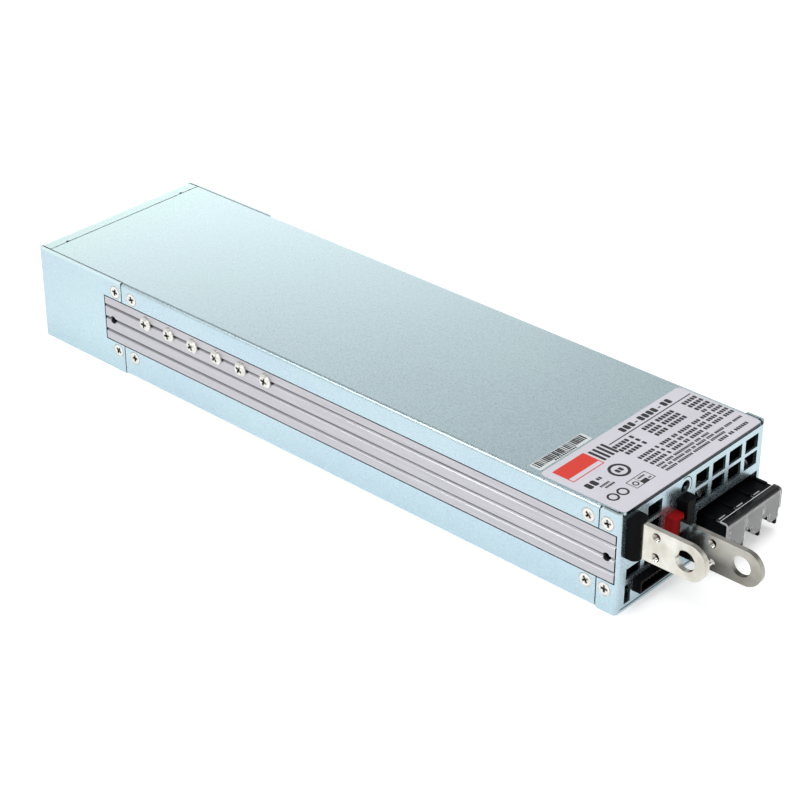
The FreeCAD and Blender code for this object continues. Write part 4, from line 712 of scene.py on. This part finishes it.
# Near-black rims of the countersunk heads: a painted shadow ring
SUNK_RIM_SHADOW = 0.03
SUNK_RIM_SHADOW_WIDTH = 0.6 * MM


class PSU_OT_fasteners(bpy.types.Operator):
    """Nickel finish on screws, nuts and standoffs"""

    bl_idname = "psu.fasteners"
    bl_label = "Fasteners"

    def execute(self, context):
        metal = context.scene.case_finishes
        plating = (metal.nickel, metal.nickel_pale, SCREW_PATCH, SCREW_ROUGHNESS)
        nickel = plated_finish("nickel_plating", *plating)
        # Countersunk heads with a painted shadow ring at their rims
        sunk = plated_finish("sunk_nickel", *plating, SUNK_RIM_SHADOW, SUNK_RIM_SHADOW_WIDTH)
        dress(nickel, "terminal_screws", "board_screws", "transistor_nuts", "board_standoffs")
        dress(sunk, "case_screws", "transistor_screws", "fan_screws")
        return {"FINISHED"}


# Output bars

THREAD_STEPS = 24
BAR_PATCH = 9 * MM
BAR_ROUGHNESS = 0.13
BAR_RIM = 0.3
BAR_RIM_WIDTH = 0.35 * MM
# The positive bar's plating is a darker copy of the tin: painted shade
BAR_SHADE = 0.75


def bar_threads(pitch, depth):
    """Ridges in the tapped holes of both bars, one closed ring per turn."""
    threads = bmesh.new()
    for bar in ("negative", "positive"):
        mount = MOUNTS[bar + "_bar_taps"]
        low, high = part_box(bar + "_busbar")
        radius = mount["dims"]["hole_r_mm"] * MM
        apart = mount["dims"]["spacing_y_mm"] * MM
        middle = Vector(mount["pos_m"])
        turns = int((high.x - low.x) / pitch)
        for side in (-1, 1):
            z = middle.z + side * apart / 2
            foot = z + radius
            for turn in range(turns):
                x = low.x + (turn + 0.5) * (high.x - low.x) / turns
                profile = [(x - pitch / 2, middle.y, foot), (x + pitch / 2, middle.y, foot),
                           (x, middle.y, foot - depth)]
                add_ring(threads, (x, middle.y, z), ACROSS, profile, steps=THREAD_STEPS)
    return threads


class PSU_OT_output_bars(bpy.types.Operator):
    """Tin finish on the bars, moulded finish on their sleeves and the partition"""

    bl_idname = "psu.output_bars"
    bl_label = "Output bars"

    def execute(self, context):
        metal = context.scene.case_finishes
        plastic = context.scene.moulded_finishes
        plating = (BAR_PATCH, BAR_ROUGHNESS, BAR_RIM, BAR_RIM_WIDTH)
        # Darker copies of the tin for the positive bar: painted shade, with painted reflections added over
        # them
        dull = shade(metal.tin, BAR_SHADE)
        dull_pale = shade(metal.tin_pale, BAR_SHADE)
        tin = plated_finish("tin_plating", metal.tin, metal.tin_pale, *plating)
        shaded_tin = plated_finish("tarnished_tin", dull, dull_pale, *plating, with_painted_reflections=True)
        dress(tin, "negative_busbar", "terminal_plates")
        dress(shaded_tin, "positive_busbar")
        threads = bar_threads(metal.thread_pitch, metal.thread_depth)
        new_piece("bar_threads", threads, tin, "case")
        black = moulded_finish("black_sleeve", plastic.black, roughness=0.45)
        dress(black, "negative_insulator", "partition_block")
        dress(moulded_finish("red_sleeve", plastic.red, roughness=0.4), "positive_insulator")
        return {"FINISHED"}


# Input terminals: sizes of the clear cover's sheet, hinge and pale edge strips, which are painted highlights

CLEAR_THICKNESS = 0.85 * MM
CLEAR_BEND = 1.6 * MM
CLEAR_STEP = 4.1 * MM
# Depth of the cover's painted dark strip under its top
DARK_STRIP_DEPTH = 0.9 * MM
HINGE_RADIUS = 1.0 * MM
HINGE_GAP = 0.2 * MM
KNUCKLE_LENGTH = 3.5 * MM
KNUCKLE_OFFSET = 3.4 * MM
POLE_PITCH = 10.6 * MM
HIGHLIGHT_LINE = 0.25 * MM
HIGHLIGHT_PROUD = 0.02 * MM
BEND_STEPS = 6


def bend_points(centre, radius):
    """Quarter turn from the top to the front, as pairs along and up."""
    turns = [math.pi / 2 * i / BEND_STEPS for i in range(BEND_STEPS + 1)]
    return [(centre[0] - radius * math.sin(turn), centre[1] + radius * math.cos(turn)) for turn in turns]


def cover_edges():
    """Pale strips on the edges of the clear cover, painted highlights: its two ends, the rear edge of its
    strip and its knuckles.
    """
    edges = bmesh.new()
    low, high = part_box("terminal_cover")
    hinge = high.y - HINGE_RADIUS
    rear = hinge - HINGE_RADIUS - HINGE_GAP
    foot = low.z + CLEAR_STEP
    top = high.z + HIGHLIGHT_PROUD
    centre = (low.y + CLEAR_BEND, high.z - CLEAR_BEND)
    outer = [(rear, high.z)] + bend_points(centre, CLEAR_BEND) + [(low.y, foot)]
    inner = [(rear, high.z - CLEAR_THICKNESS)] + bend_points(centre, CLEAR_BEND - CLEAR_THICKNESS)
    inner.append((low.y + CLEAR_THICKNESS, foot))
    for x, side in ((low.x, -1), (high.x, 1)):
        profile = [(x, y, z) for y, z in outer + inner[::-1]]
        add_prism(edges, profile, (side * HIGHLIGHT_PROUD, 0, 0))
    add_slab(edges, (low.x, rear - HIGHLIGHT_LINE, high.z), (high.x, rear, top))
    first = (low.x + high.x) / 2 - KNUCKLE_OFFSET - KNUCKLE_LENGTH / 2
    for pole in (-1, 0, 1):
        left = first + pole * POLE_PITCH
        add_slab(edges, (left, hinge - HIGHLIGHT_LINE, high.z), (left + KNUCKLE_LENGTH, hinge, top))
    return edges


class PSU_OT_input_terminals(bpy.types.Operator):
    """Finish of the terminal block and its clear cover, with pale strips on the cover's edges as painted
    highlights
    """

    bl_idname = "psu.input_terminals"
    bl_label = "Input terminals"

    def execute(self, context):
        plastic = context.scene.moulded_finishes
        dress(moulded_finish("terminal_black", plastic.black, roughness=0.38), "terminal_block")
        # Painted dark strip along the top of the clear cover
        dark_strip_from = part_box("terminal_cover")[1].z - DARK_STRIP_DEPTH
        clear = clear_finish("cover_clear", plastic.clear, roughness=0.06, milk=0.12, dark_from=dark_strip_from)
        dress(clear, "terminal_cover")
        # Pale film for the painted highlight strips on the cover's edges
        pale = film_finish("cover_edge", plastic.clear_highlight, roughness=0.4)
        new_piece("cover_edges", cover_edges(), pale, "cover")
        return {"FINISHED"}


# Signal connector, trimmer, fans and inner parts

class PSU_OT_signal_and_trimmer(bpy.types.Operator):
    """Finish of the signal connector, its pins and the output trimmer"""

    bl_idname = "psu.signal_and_trimmer"
    bl_label = "Signal connector and trimmer"

    def execute(self, context):
        metal = context.scene.case_finishes
        plastic = context.scene.moulded_finishes
        gilt = plated_finish("gilt_plating", shade(metal.gilt, 0.8), metal.gilt, patch_size=1 * MM,
                             roughness=0.25)
        # Painted shade in the rotor's slot, behind its front face
        ivory = moulded_finish("trimmer_ivory", plastic.ivory, roughness=0.45, face=TRIMMER_LOW.y)
        dress(moulded_finish("connector_black", plastic.black, roughness=0.42), "signal_connector")
        dress(gilt, "signal_pins")
        dress(moulded_finish("trimmer_blue", plastic.blue, roughness=0.3), "trimmer_body")
        dress(ivory, "trimmer_rotor")
        return {"FINISHED"}


class PSU_OT_fans(bpy.types.Operator):
    """Finish of the fan frames, rotors and coil rings"""

    bl_idname = "psu.fans"
    bl_label = "Fans"

    def execute(self, context):
        plastic = context.scene.moulded_finishes
        black = moulded_finish("fan_black", plastic.black, roughness=0.4, grain_size=0.5 * MM)
        dress(black, "left_fan_frame", "right_fan_frame", "left_fan_rotor", "right_fan_rotor")
        dress(winding_finish("coil_wire", plastic.copper), "fan_stators")
        return {"FINISHED"}


class PSU_OT_inner_parts(bpy.types.Operator):
    """Finish of the boards and what stands on them"""

    bl_idname = "psu.inner_parts"
    bl_label = "Inner parts"

    def execute(self, context):
        metal = context.scene.case_finishes
        plastic = context.scene.moulded_finishes
        film = film_finish("insulating_film", plastic.film, roughness=0.5)
        sleeve = moulded_finish("can_sleeve", plastic.can, roughness=0.25)
        package = moulded_finish("package_black", plastic.black, roughness=0.5)
        aged = plated_finish("aged_tin", shade(metal.tin, 0.2), shade(metal.tin, 0.35), patch_size=3 * MM,
                             roughness=0.4)
        dress(board_finish(plastic.board), "main_board", "adjust_board", "control_board")
        dress(film, "insulation_sheet", "transistor_pads")
        dress(sleeve, "output_capacitors", "bulk_capacitors")
        dress(winding_finish("choke_wire", plastic.copper), "output_choke", "boost_choke", "line_choke")
        dress(moulded_finish("ferrite_core", plastic.ferrite, roughness=0.6), "transformer_core")
        dress(film_finish("winding_tape", plastic.tape, roughness=0.4), "transformer_winding")
        dress(package, "transformer_base", "power_transistors")
        # Near-black boxes: painted shade inside the case
        dress(moulded_finish("box_grey", plastic.box, roughness=0.45), "film_capacitors")
        dress(clear_finish("fuse_glass", plastic.glass, roughness=0.04, milk=0.0), "input_fuse")
        dress(aged, "fuse_clips")
        return {"FINISHED"}


# Label print, in millimetres from the label's left and rear edges

FIELD_CORNER = 0.2

# Letter blocks, as shares of their height
LETTER_SHARE = 0.66
LETTER_GAP = 0.18
LETTER_CORNER = 0.2
WORD_GAP = 0.6

# Rows of letter blocks: left edge, letters of each word, middles of the rows that have them, height
TITLE_ROW = (3.4,)
UPPER_ROWS = (8.7, 11.5, 14.3)
LOWER_ROWS = (19.3, 21.9, 24.5)
DARK_ROWS = (
    (41.3, (3,), TITLE_ROW, 3.1),
    (52.1, (4,), TITLE_ROW, 3.1),
    (65.8, (2,), TITLE_ROW, 3.1),
    (30.4, (5, 1), UPPER_ROWS, 2.0),
    (47.4, (4, 6), UPPER_ROWS, 2.0),
    (71.2, (5,), UPPER_ROWS, 1.95),
    (71.6, (2, 3), (16.9,), 1.6),
    (30.9, (6, 1), LOWER_ROWS, 1.75),
    (43.6, (4, 2, 5, 3, 4, 4), LOWER_ROWS, 1.7),
    (31.1, (4, 4, 11, 3, 4), (27.0,), 1.25),
    (31.1, (3, 2, 6, 3, 2, 5, 4, 5, 4, 5), (28.9,), 1.25),
    (31.1, (6, 8, 9, 8), (30.8,), 1.25),
    (59.3, (4, 2, 6), (33.0,), 1.55),
)
MARK_ROWS = (
    (18.7, (2,), (18.8,), 2.2),
    (4.0, (2,), (17.6,), 3.4),
    (10.2, (2,), (17.0,), 1.5),
    (7.4, (6,), (20.7,), 1.0),
    (8.2, (6,), (22.3,), 1.0),
    (20.2, (5,), (26.9,), 0.9),
    (23.2, (2,), (29.2,), 0.9),
)

# Fields: left, right, rear and front edges, corner radius
TITLE_DASHES = [(left, left + 1.5, 3.3, 3.9, 0.1) for left in (49.4, 63.1)]
TITLE_RULE = (31.2, 79.3, 5.9, 6.4, 0.0)
MARK_BARS = [(left, left + 1.3, 3.7, 11.4, FIELD_CORNER) for left in (21.9, 24.2, 26.5, 28.8)]
MARK_DIVIDER = (19.3, 19.5, 25.7, 30.2, 0.0)
MARK_BLOCK = (19.5, 22.6, 28.3, 30.2, 0.0)
RED_FIELD = (3.6, 20.8, 2.7, 9.3, 0.4)

# Borders: left, right, rear and front edges, line width
MARK_BORDER = (15.1, 25.7, 25.4, 30.5, 0.3)
RED_BORDER = (3.6, 20.8, 9.3, 12.2, 0.45)

# Rings: place across and down, outer and inner radius
MARK_RINGS = (
    (20.4, 18.8, 4.1, 2.95),
    (5.4, 27.7, 2.3, 1.5),
    (10.4, 28.0, 2.3, 1.5),
    (17.3, 28.2, 1.3, 0.75),
)


class LabelSheet:
    """Places flat printed shapes on the rating label."""

    def __init__(self, proud):
        self.mesh = bmesh.new()
        self.base = LABEL_HIGH.z
        self.top = LABEL_HIGH.z + proud

    def field(self, left, right, rear, front, corner=0.0):
        """Filled rectangle."""
        low = (LABEL_LOW.x + left * MM, LABEL_HIGH.y - front * MM, self.base)
        high = (LABEL_LOW.x + right * MM, LABEL_HIGH.y - rear * MM, self.top)
        add_slab(self.mesh, low, high, corner * MM)

    def row(self, left, words, middle, height):
        """Row of words, each a run of letter-sized blocks of the given count."""
        wide = height * LETTER_SHARE
        rear = middle - height / 2
        for letters in words:
            for _ in range(letters):
                self.field(left, left + wide, rear, rear + height, height * LETTER_CORNER)
                left += wide + height * LETTER_GAP
            left += height * WORD_GAP

    def rows(self, table):
        """Rows of words from one of the tables."""
        for left, words, middles, height in table:
            for middle in middles:
                self.row(left, words, middle, height)

    def ring(self, across, down, outer, inner):
        """Flat ring."""
        x = LABEL_LOW.x + across * MM
        y = LABEL_HIGH.y - down * MM
        near = x + inner * MM
        far = x + outer * MM
        profile = [(near, y, self.base), (far, y, self.base), (far, y, self.top), (near, y, self.top)]
        add_ring(self.mesh, (x, y, self.base), UPWARD, profile)

    def border(self, left, right, rear, front, line):
        """Thin rectangular frame."""
        self.field(left, right, rear, rear + line)
        self.field(left, right, front - line, front)
        self.field(left, left + line, rear + line, front - line)
        self.field(right - line, right, rear + line, front - line)


def dark_print(proud):
    """Title, rule and rows of the label's dark ink."""
    sheet = LabelSheet(proud)
    sheet.rows(DARK_ROWS)
    for edges in (*TITLE_DASHES, TITLE_RULE):
        sheet.field(*edges)
    return sheet.mesh


def mark_print(proud):
    """Round, barred and framed marks on the label's left side."""
    sheet = LabelSheet(proud)
    sheet.rows(MARK_ROWS)
    for edges in (*MARK_BARS, MARK_DIVIDER, MARK_BLOCK):
        sheet.field(*edges)
    for ring in MARK_RINGS:
        sheet.ring(*ring)
    sheet.border(*MARK_BORDER)
    return sheet.mesh


def red_print(proud):
    """Red field above a bare framed band."""
    sheet = LabelSheet(proud)
    sheet.field(*RED_FIELD)
    sheet.border(*RED_BORDER)
    return sheet.mesh


class PSU_OT_rating_label(bpy.types.Operator):
    """Label film with plain printed fields in place of words"""

    bl_idname = "psu.rating_label"
    bl_label = "Rating label"

    def execute(self, context):
        settings = context.scene.print_settings
        dress(film_finish("label_film", settings.film, roughness=0.42), "rating_label")
        ink = film_finish("label_ink", settings.ink, roughness=0.4)
        red = film_finish("label_red", settings.red, roughness=0.4)
        new_piece("label_rows", dark_print(settings.proud), ink, "case")
        new_piece("label_marks", mark_print(settings.proud), ink, "case")
        new_piece("label_red_field", red_print(settings.proud), red, "case")
        return {"FINISHED"}


# Bar-code tag

BAR_MARGIN = 1.1 * MM
BAR_TO_REAR = 0.3 * MM
BAR_STRIP = 3.5 * MM
BAR_SHARES = (0.46, 0.74, 0.52, 0.84, 0.62)
TAG_ROW_LEFT = 8.8 * MM
TAG_ROW_LETTERS = 11
TAG_ROW_PITCH = 1.1 * MM
TAG_ROW_SHARE = 0.7
TAG_ROW_HEIGHT = 0.8 * MM
TAG_ROW_GAP = 0.25 * MM
TAG_ROW_CORNER = 0.1 * MM


def tag_print(bar_count, proud):
    """Upright bars above a short row of small fields."""
    bars = bmesh.new()
    base = TAG_HIGH.z
    top = base + proud
    left = TAG_LOW.x + BAR_MARGIN
    pitch = (TAG_HIGH.x - TAG_LOW.x - 2 * BAR_MARGIN) / bar_count
    rear = TAG_HIGH.y - BAR_TO_REAR
    front = rear - BAR_STRIP
    for i in range(bar_count):
        x = left + i * pitch
        wide = pitch * BAR_SHARES[(i * i + i // 3) % len(BAR_SHARES)]
        add_slab(bars, (x, front, base), (x + wide, rear, top))
    row_rear = front - TAG_ROW_GAP
    row_front = row_rear - TAG_ROW_HEIGHT
    for i in range(TAG_ROW_LETTERS):
        x = TAG_LOW.x + TAG_ROW_LEFT + i * TAG_ROW_PITCH
        wide = TAG_ROW_SHARE * TAG_ROW_PITCH
        add_slab(bars, (x, row_front, base), (x + wide, row_rear, top), TAG_ROW_CORNER)
    return bars


class PSU_OT_barcode_tag(bpy.types.Operator):
    """Tag with upright bars and a row of small fields"""

    bl_idname = "psu.barcode_tag"
    bl_label = "Bar-code tag"

    def execute(self, context):
        settings = context.scene.print_settings
        dress(film_finish("tag_film", settings.tag, roughness=0.45), "barcode_label")
        ink = film_finish("tag_ink", settings.ink, roughness=0.45)
        new_piece("tag_bars", tag_print(settings.tag_bars, settings.proud), ink, "case")
        return {"FINISHED"}


# Panel print: an arc round the adjusting hole and a cross

ARC_RADIUS = 3.6 * MM
ARC_WIDTH = 0.35 * MM
ARC_START = math.radians(40)
ARC_SPAN = math.radians(150)
ARC_STEPS = 24
CROSS_LEFT = 28.7 * MM
CROSS_HEIGHT = 33.2 * MM
CROSS_ARM = 0.7 * MM
CROSS_LINE = 0.4 * MM


def panel_print(proud):
    """Arc and cross on the front panel's face."""
    marks = bmesh.new()
    face = PANEL_LOW.y
    front = face - proud
    centre = (TRIMMER_LOW + TRIMMER_HIGH) / 2
    z = centre.z
    near = centre.x + ARC_RADIUS
    far = near + ARC_WIDTH
    profile = [(near, face, z), (far, face, z), (far, front, z), (near, front, z)]
    start = Matrix.Rotation(ARC_START, 3, "Y")
    turned = [start @ (Vector(point) - centre) + centre for point in profile]
    add_ring(marks, centre, FORWARD, turned, ARC_SPAN, ARC_STEPS)
    x = PANEL_LOW.x + CROSS_LEFT
    for wide, tall in ((CROSS_ARM, CROSS_LINE / 2), (CROSS_LINE / 2, CROSS_ARM)):
        add_slab(marks, (x - wide, front, CROSS_HEIGHT - tall), (x + wide, face, CROSS_HEIGHT + tall))
    return marks


class PSU_OT_panel_print(bpy.types.Operator):
    """Arc beside the adjusting hole and a small cross on the front panel"""

    bl_idname = "psu.panel_print"
    bl_label = "Panel print"

    def execute(self, context):
        settings = context.scene.print_settings
        ink = film_finish("panel_ink", settings.ink, roughness=0.4)
        new_piece("panel_marks", panel_print(settings.proud), ink, "case")
        return {"FINISHED"}


# Stage

IMAGE_SIZE = 800
SENSOR_WIDTH = 36.0
CLIP_START = 0.01
LAMP_AIM = Vector((0.0, 0.0, 0.02))

# Lamps: name, setting with its watts, place, width and depth
LAMPS = (
    ("key_lamp", "key_power", (-0.9, -0.3, 0.7), (0.7, 0.7)),
    ("top_lamp", "top_power", (0.1, -0.1, 1.1), (0.8, 0.8)),
    ("rear_lamp", "rear_power", (0.85, 0.95, 0.42), (0.7, 0.35)),
    ("bend_lamp", "bend_power", (-0.72, 0.60, 1.05), (0.4, 0.25)),
)


def aimed(direction):
    """Turn of a camera or lamp that looks along a direction."""
    return direction.to_track_quat("-Z", "Y").to_euler()


def add_camera(settings):
    """Camera at the photograph's angle."""
    heading = math.radians(settings.azimuth)
    rise = math.radians(settings.elevation)
    level = math.cos(rise)
    back = Vector((math.sin(heading) * level, -math.cos(heading) * level, math.sin(rise)))
    data = bpy.data.cameras.new("photo_camera")
    data.sensor_width = SENSOR_WIDTH
    data.lens = settings.focal * SENSOR_WIDTH / IMAGE_SIZE
    data.clip_start = CLIP_START
    camera = bpy.data.objects.new("photo_camera", data)
    camera.location = Vector(settings.target) + back * settings.distance
    camera.rotation_euler = aimed(-back)
    bpy.context.scene.collection.objects.link(camera)
    bpy.context.scene.camera = camera


def add_lamp(name, power, place, size):
    """Rectangular lamp that faces the part."""
    data = bpy.data.lights.new(name, "AREA")
    data.shape = "RECTANGLE"
    data.size, data.size_y = size
    data.energy = power
    lamp = bpy.data.objects.new(name, data)
    lamp.location = place
    lamp.rotation_euler = aimed(LAMP_AIM - Vector(place))
    bpy.context.scene.collection.objects.link(lamp)


def seen_rays(tree):
    """1 for camera, glossy and transmission rays."""
    path = tree.nodes.new("ShaderNodeLightPath")
    seen = path.outputs["Is Camera Ray"]
    for name in ("Is Glossy Ray", "Is Transmission Ray"):
        seen = calculate(tree, "MAXIMUM", seen, path.outputs[name])
    return seen


def add_world(settings):
    """Even studio light: a white wall that turns grey overhead."""
    world = bpy.data.worlds.new("studio")
    world.use_nodes = True
    tree = world.node_tree
    tree.nodes.clear()
    heading = tree.nodes.new("ShaderNodeTexCoord")
    height = tree.nodes.new("ShaderNodeSeparateXYZ")
    tree.links.new(heading.outputs["Generated"], height.inputs["Vector"])
    grey = remap(tree, height.outputs["Z"], math.sin(settings.horizon), math.sin(settings.ceiling),
                 to_low=1.0, to_high=settings.ceiling_grey)
    background = tree.nodes.new("ShaderNodeBackground")
    tree.links.new(grey, background.inputs["Color"])
    tree.links.new(remap(tree, seen_rays(tree), to_low=settings.sky), background.inputs["Strength"])
    output = tree.nodes.new("ShaderNodeOutputWorld")
    tree.links.new(background.outputs["Background"], output.inputs["Surface"])
    bpy.context.scene.world = world


def add_floor(settings):
    """Pale floor that shows the part's shadow and turns plain white further out."""
    mesh_data = bmesh.new()
    bmesh.ops.create_grid(mesh_data, x_segments=1, y_segments=1, size=settings.floor_size / 2)
    mesh = bpy.data.meshes.new("floor")
    mesh_data.to_mesh(mesh)
    mesh_data.free()
    floor = bpy.data.objects.new("floor", mesh)
    finish = Finish("floor", settings.floor, roughness=0.9)
    finish.shader.inputs["Emission Color"].default_value = (1.0, 1.0, 1.0, 1.0)
    away = finish.tree.nodes.new("ShaderNodeVectorMath")
    away.operation = "LENGTH"
    finish.tree.links.new(finish.place, away.inputs[0])
    lift = remap(finish.tree, away.outputs["Value"], settings.floor_near, settings.floor_far,
                 to_low=settings.floor_lift)
    shown = finish.both(seen_rays(finish.tree), lift)
    finish.tree.links.new(shown, finish.shader.inputs["Emission Strength"])
    mesh.materials.append(finish.material)
    bpy.context.scene.collection.objects.link(floor)


class PSU_OT_stage(bpy.types.Operator):
    """Camera, floor, world and lamps"""

    bl_idname = "psu.stage"
    bl_label = "Stage"

    def execute(self, context):
        settings = context.scene.stage_settings
        context.scene.view_settings.view_transform = "Standard"
        add_camera(settings)
        add_world(settings)
        add_floor(settings)
        for name, power, place, size in LAMPS:
            add_lamp(name, getattr(settings, power), place, size)
        return {"FINISHED"}


# Add-on

class PSU_PT_panel(bpy.types.Panel):
    """Sidebar list of the operators"""

    bl_label = "Power Supply"
    bl_idname = "PSU_PT_panel"
    bl_space_type = "VIEW_3D"
    bl_region_type = "UI"
    bl_category = "Power Supply"

    def draw(self, context):
        for operator in OPERATORS:
            self.layout.operator(operator.bl_idname)


SETTINGS = {
    "case_finishes": CaseFinishes,
    "moulded_finishes": MouldedFinishes,
    "print_settings": PrintSettings,
    "stage_settings": StageSettings,
}
OPERATORS = (
    PSU_OT_case_sheets,
    PSU_OT_rails,
    PSU_OT_fasteners,
    PSU_OT_output_bars,
    PSU_OT_input_terminals,
    PSU_OT_signal_and_trimmer,
    PSU_OT_fans,
    PSU_OT_inner_parts,
    PSU_OT_rating_label,
    PSU_OT_barcode_tag,
    PSU_OT_panel_print,
    PSU_OT_stage,
)


def register():
    for name, group in SETTINGS.items():
        bpy.utils.register_class(group)
        setattr(bpy.types.Scene, name, PointerProperty(type=group))
    for operator in OPERATORS:
        bpy.utils.register_class(operator)
    bpy.utils.register_class(PSU_PT_panel)


def unregister():
    bpy.utils.unregister_class(PSU_PT_panel)
    for operator in reversed(OPERATORS):
        bpy.utils.unregister_class(operator)
    for name, group in SETTINGS.items():
        delattr(bpy.types.Scene, name)
        bpy.utils.unregister_class(group)


def main():
    register()
    bpy.ops.psu.case_sheets()
    bpy.ops.psu.rails()
    bpy.ops.psu.fasteners()
    bpy.ops.psu.output_bars()
    bpy.ops.psu.input_terminals()
    bpy.ops.psu.signal_and_trimmer()
    bpy.ops.psu.fans()
    bpy.ops.psu.inner_parts()
    bpy.ops.psu.rating_label()
    bpy.ops.psu.barcode_tag()
    bpy.ops.psu.panel_print()
    bpy.ops.psu.stage()


if __name__ == "__main__":
    main()
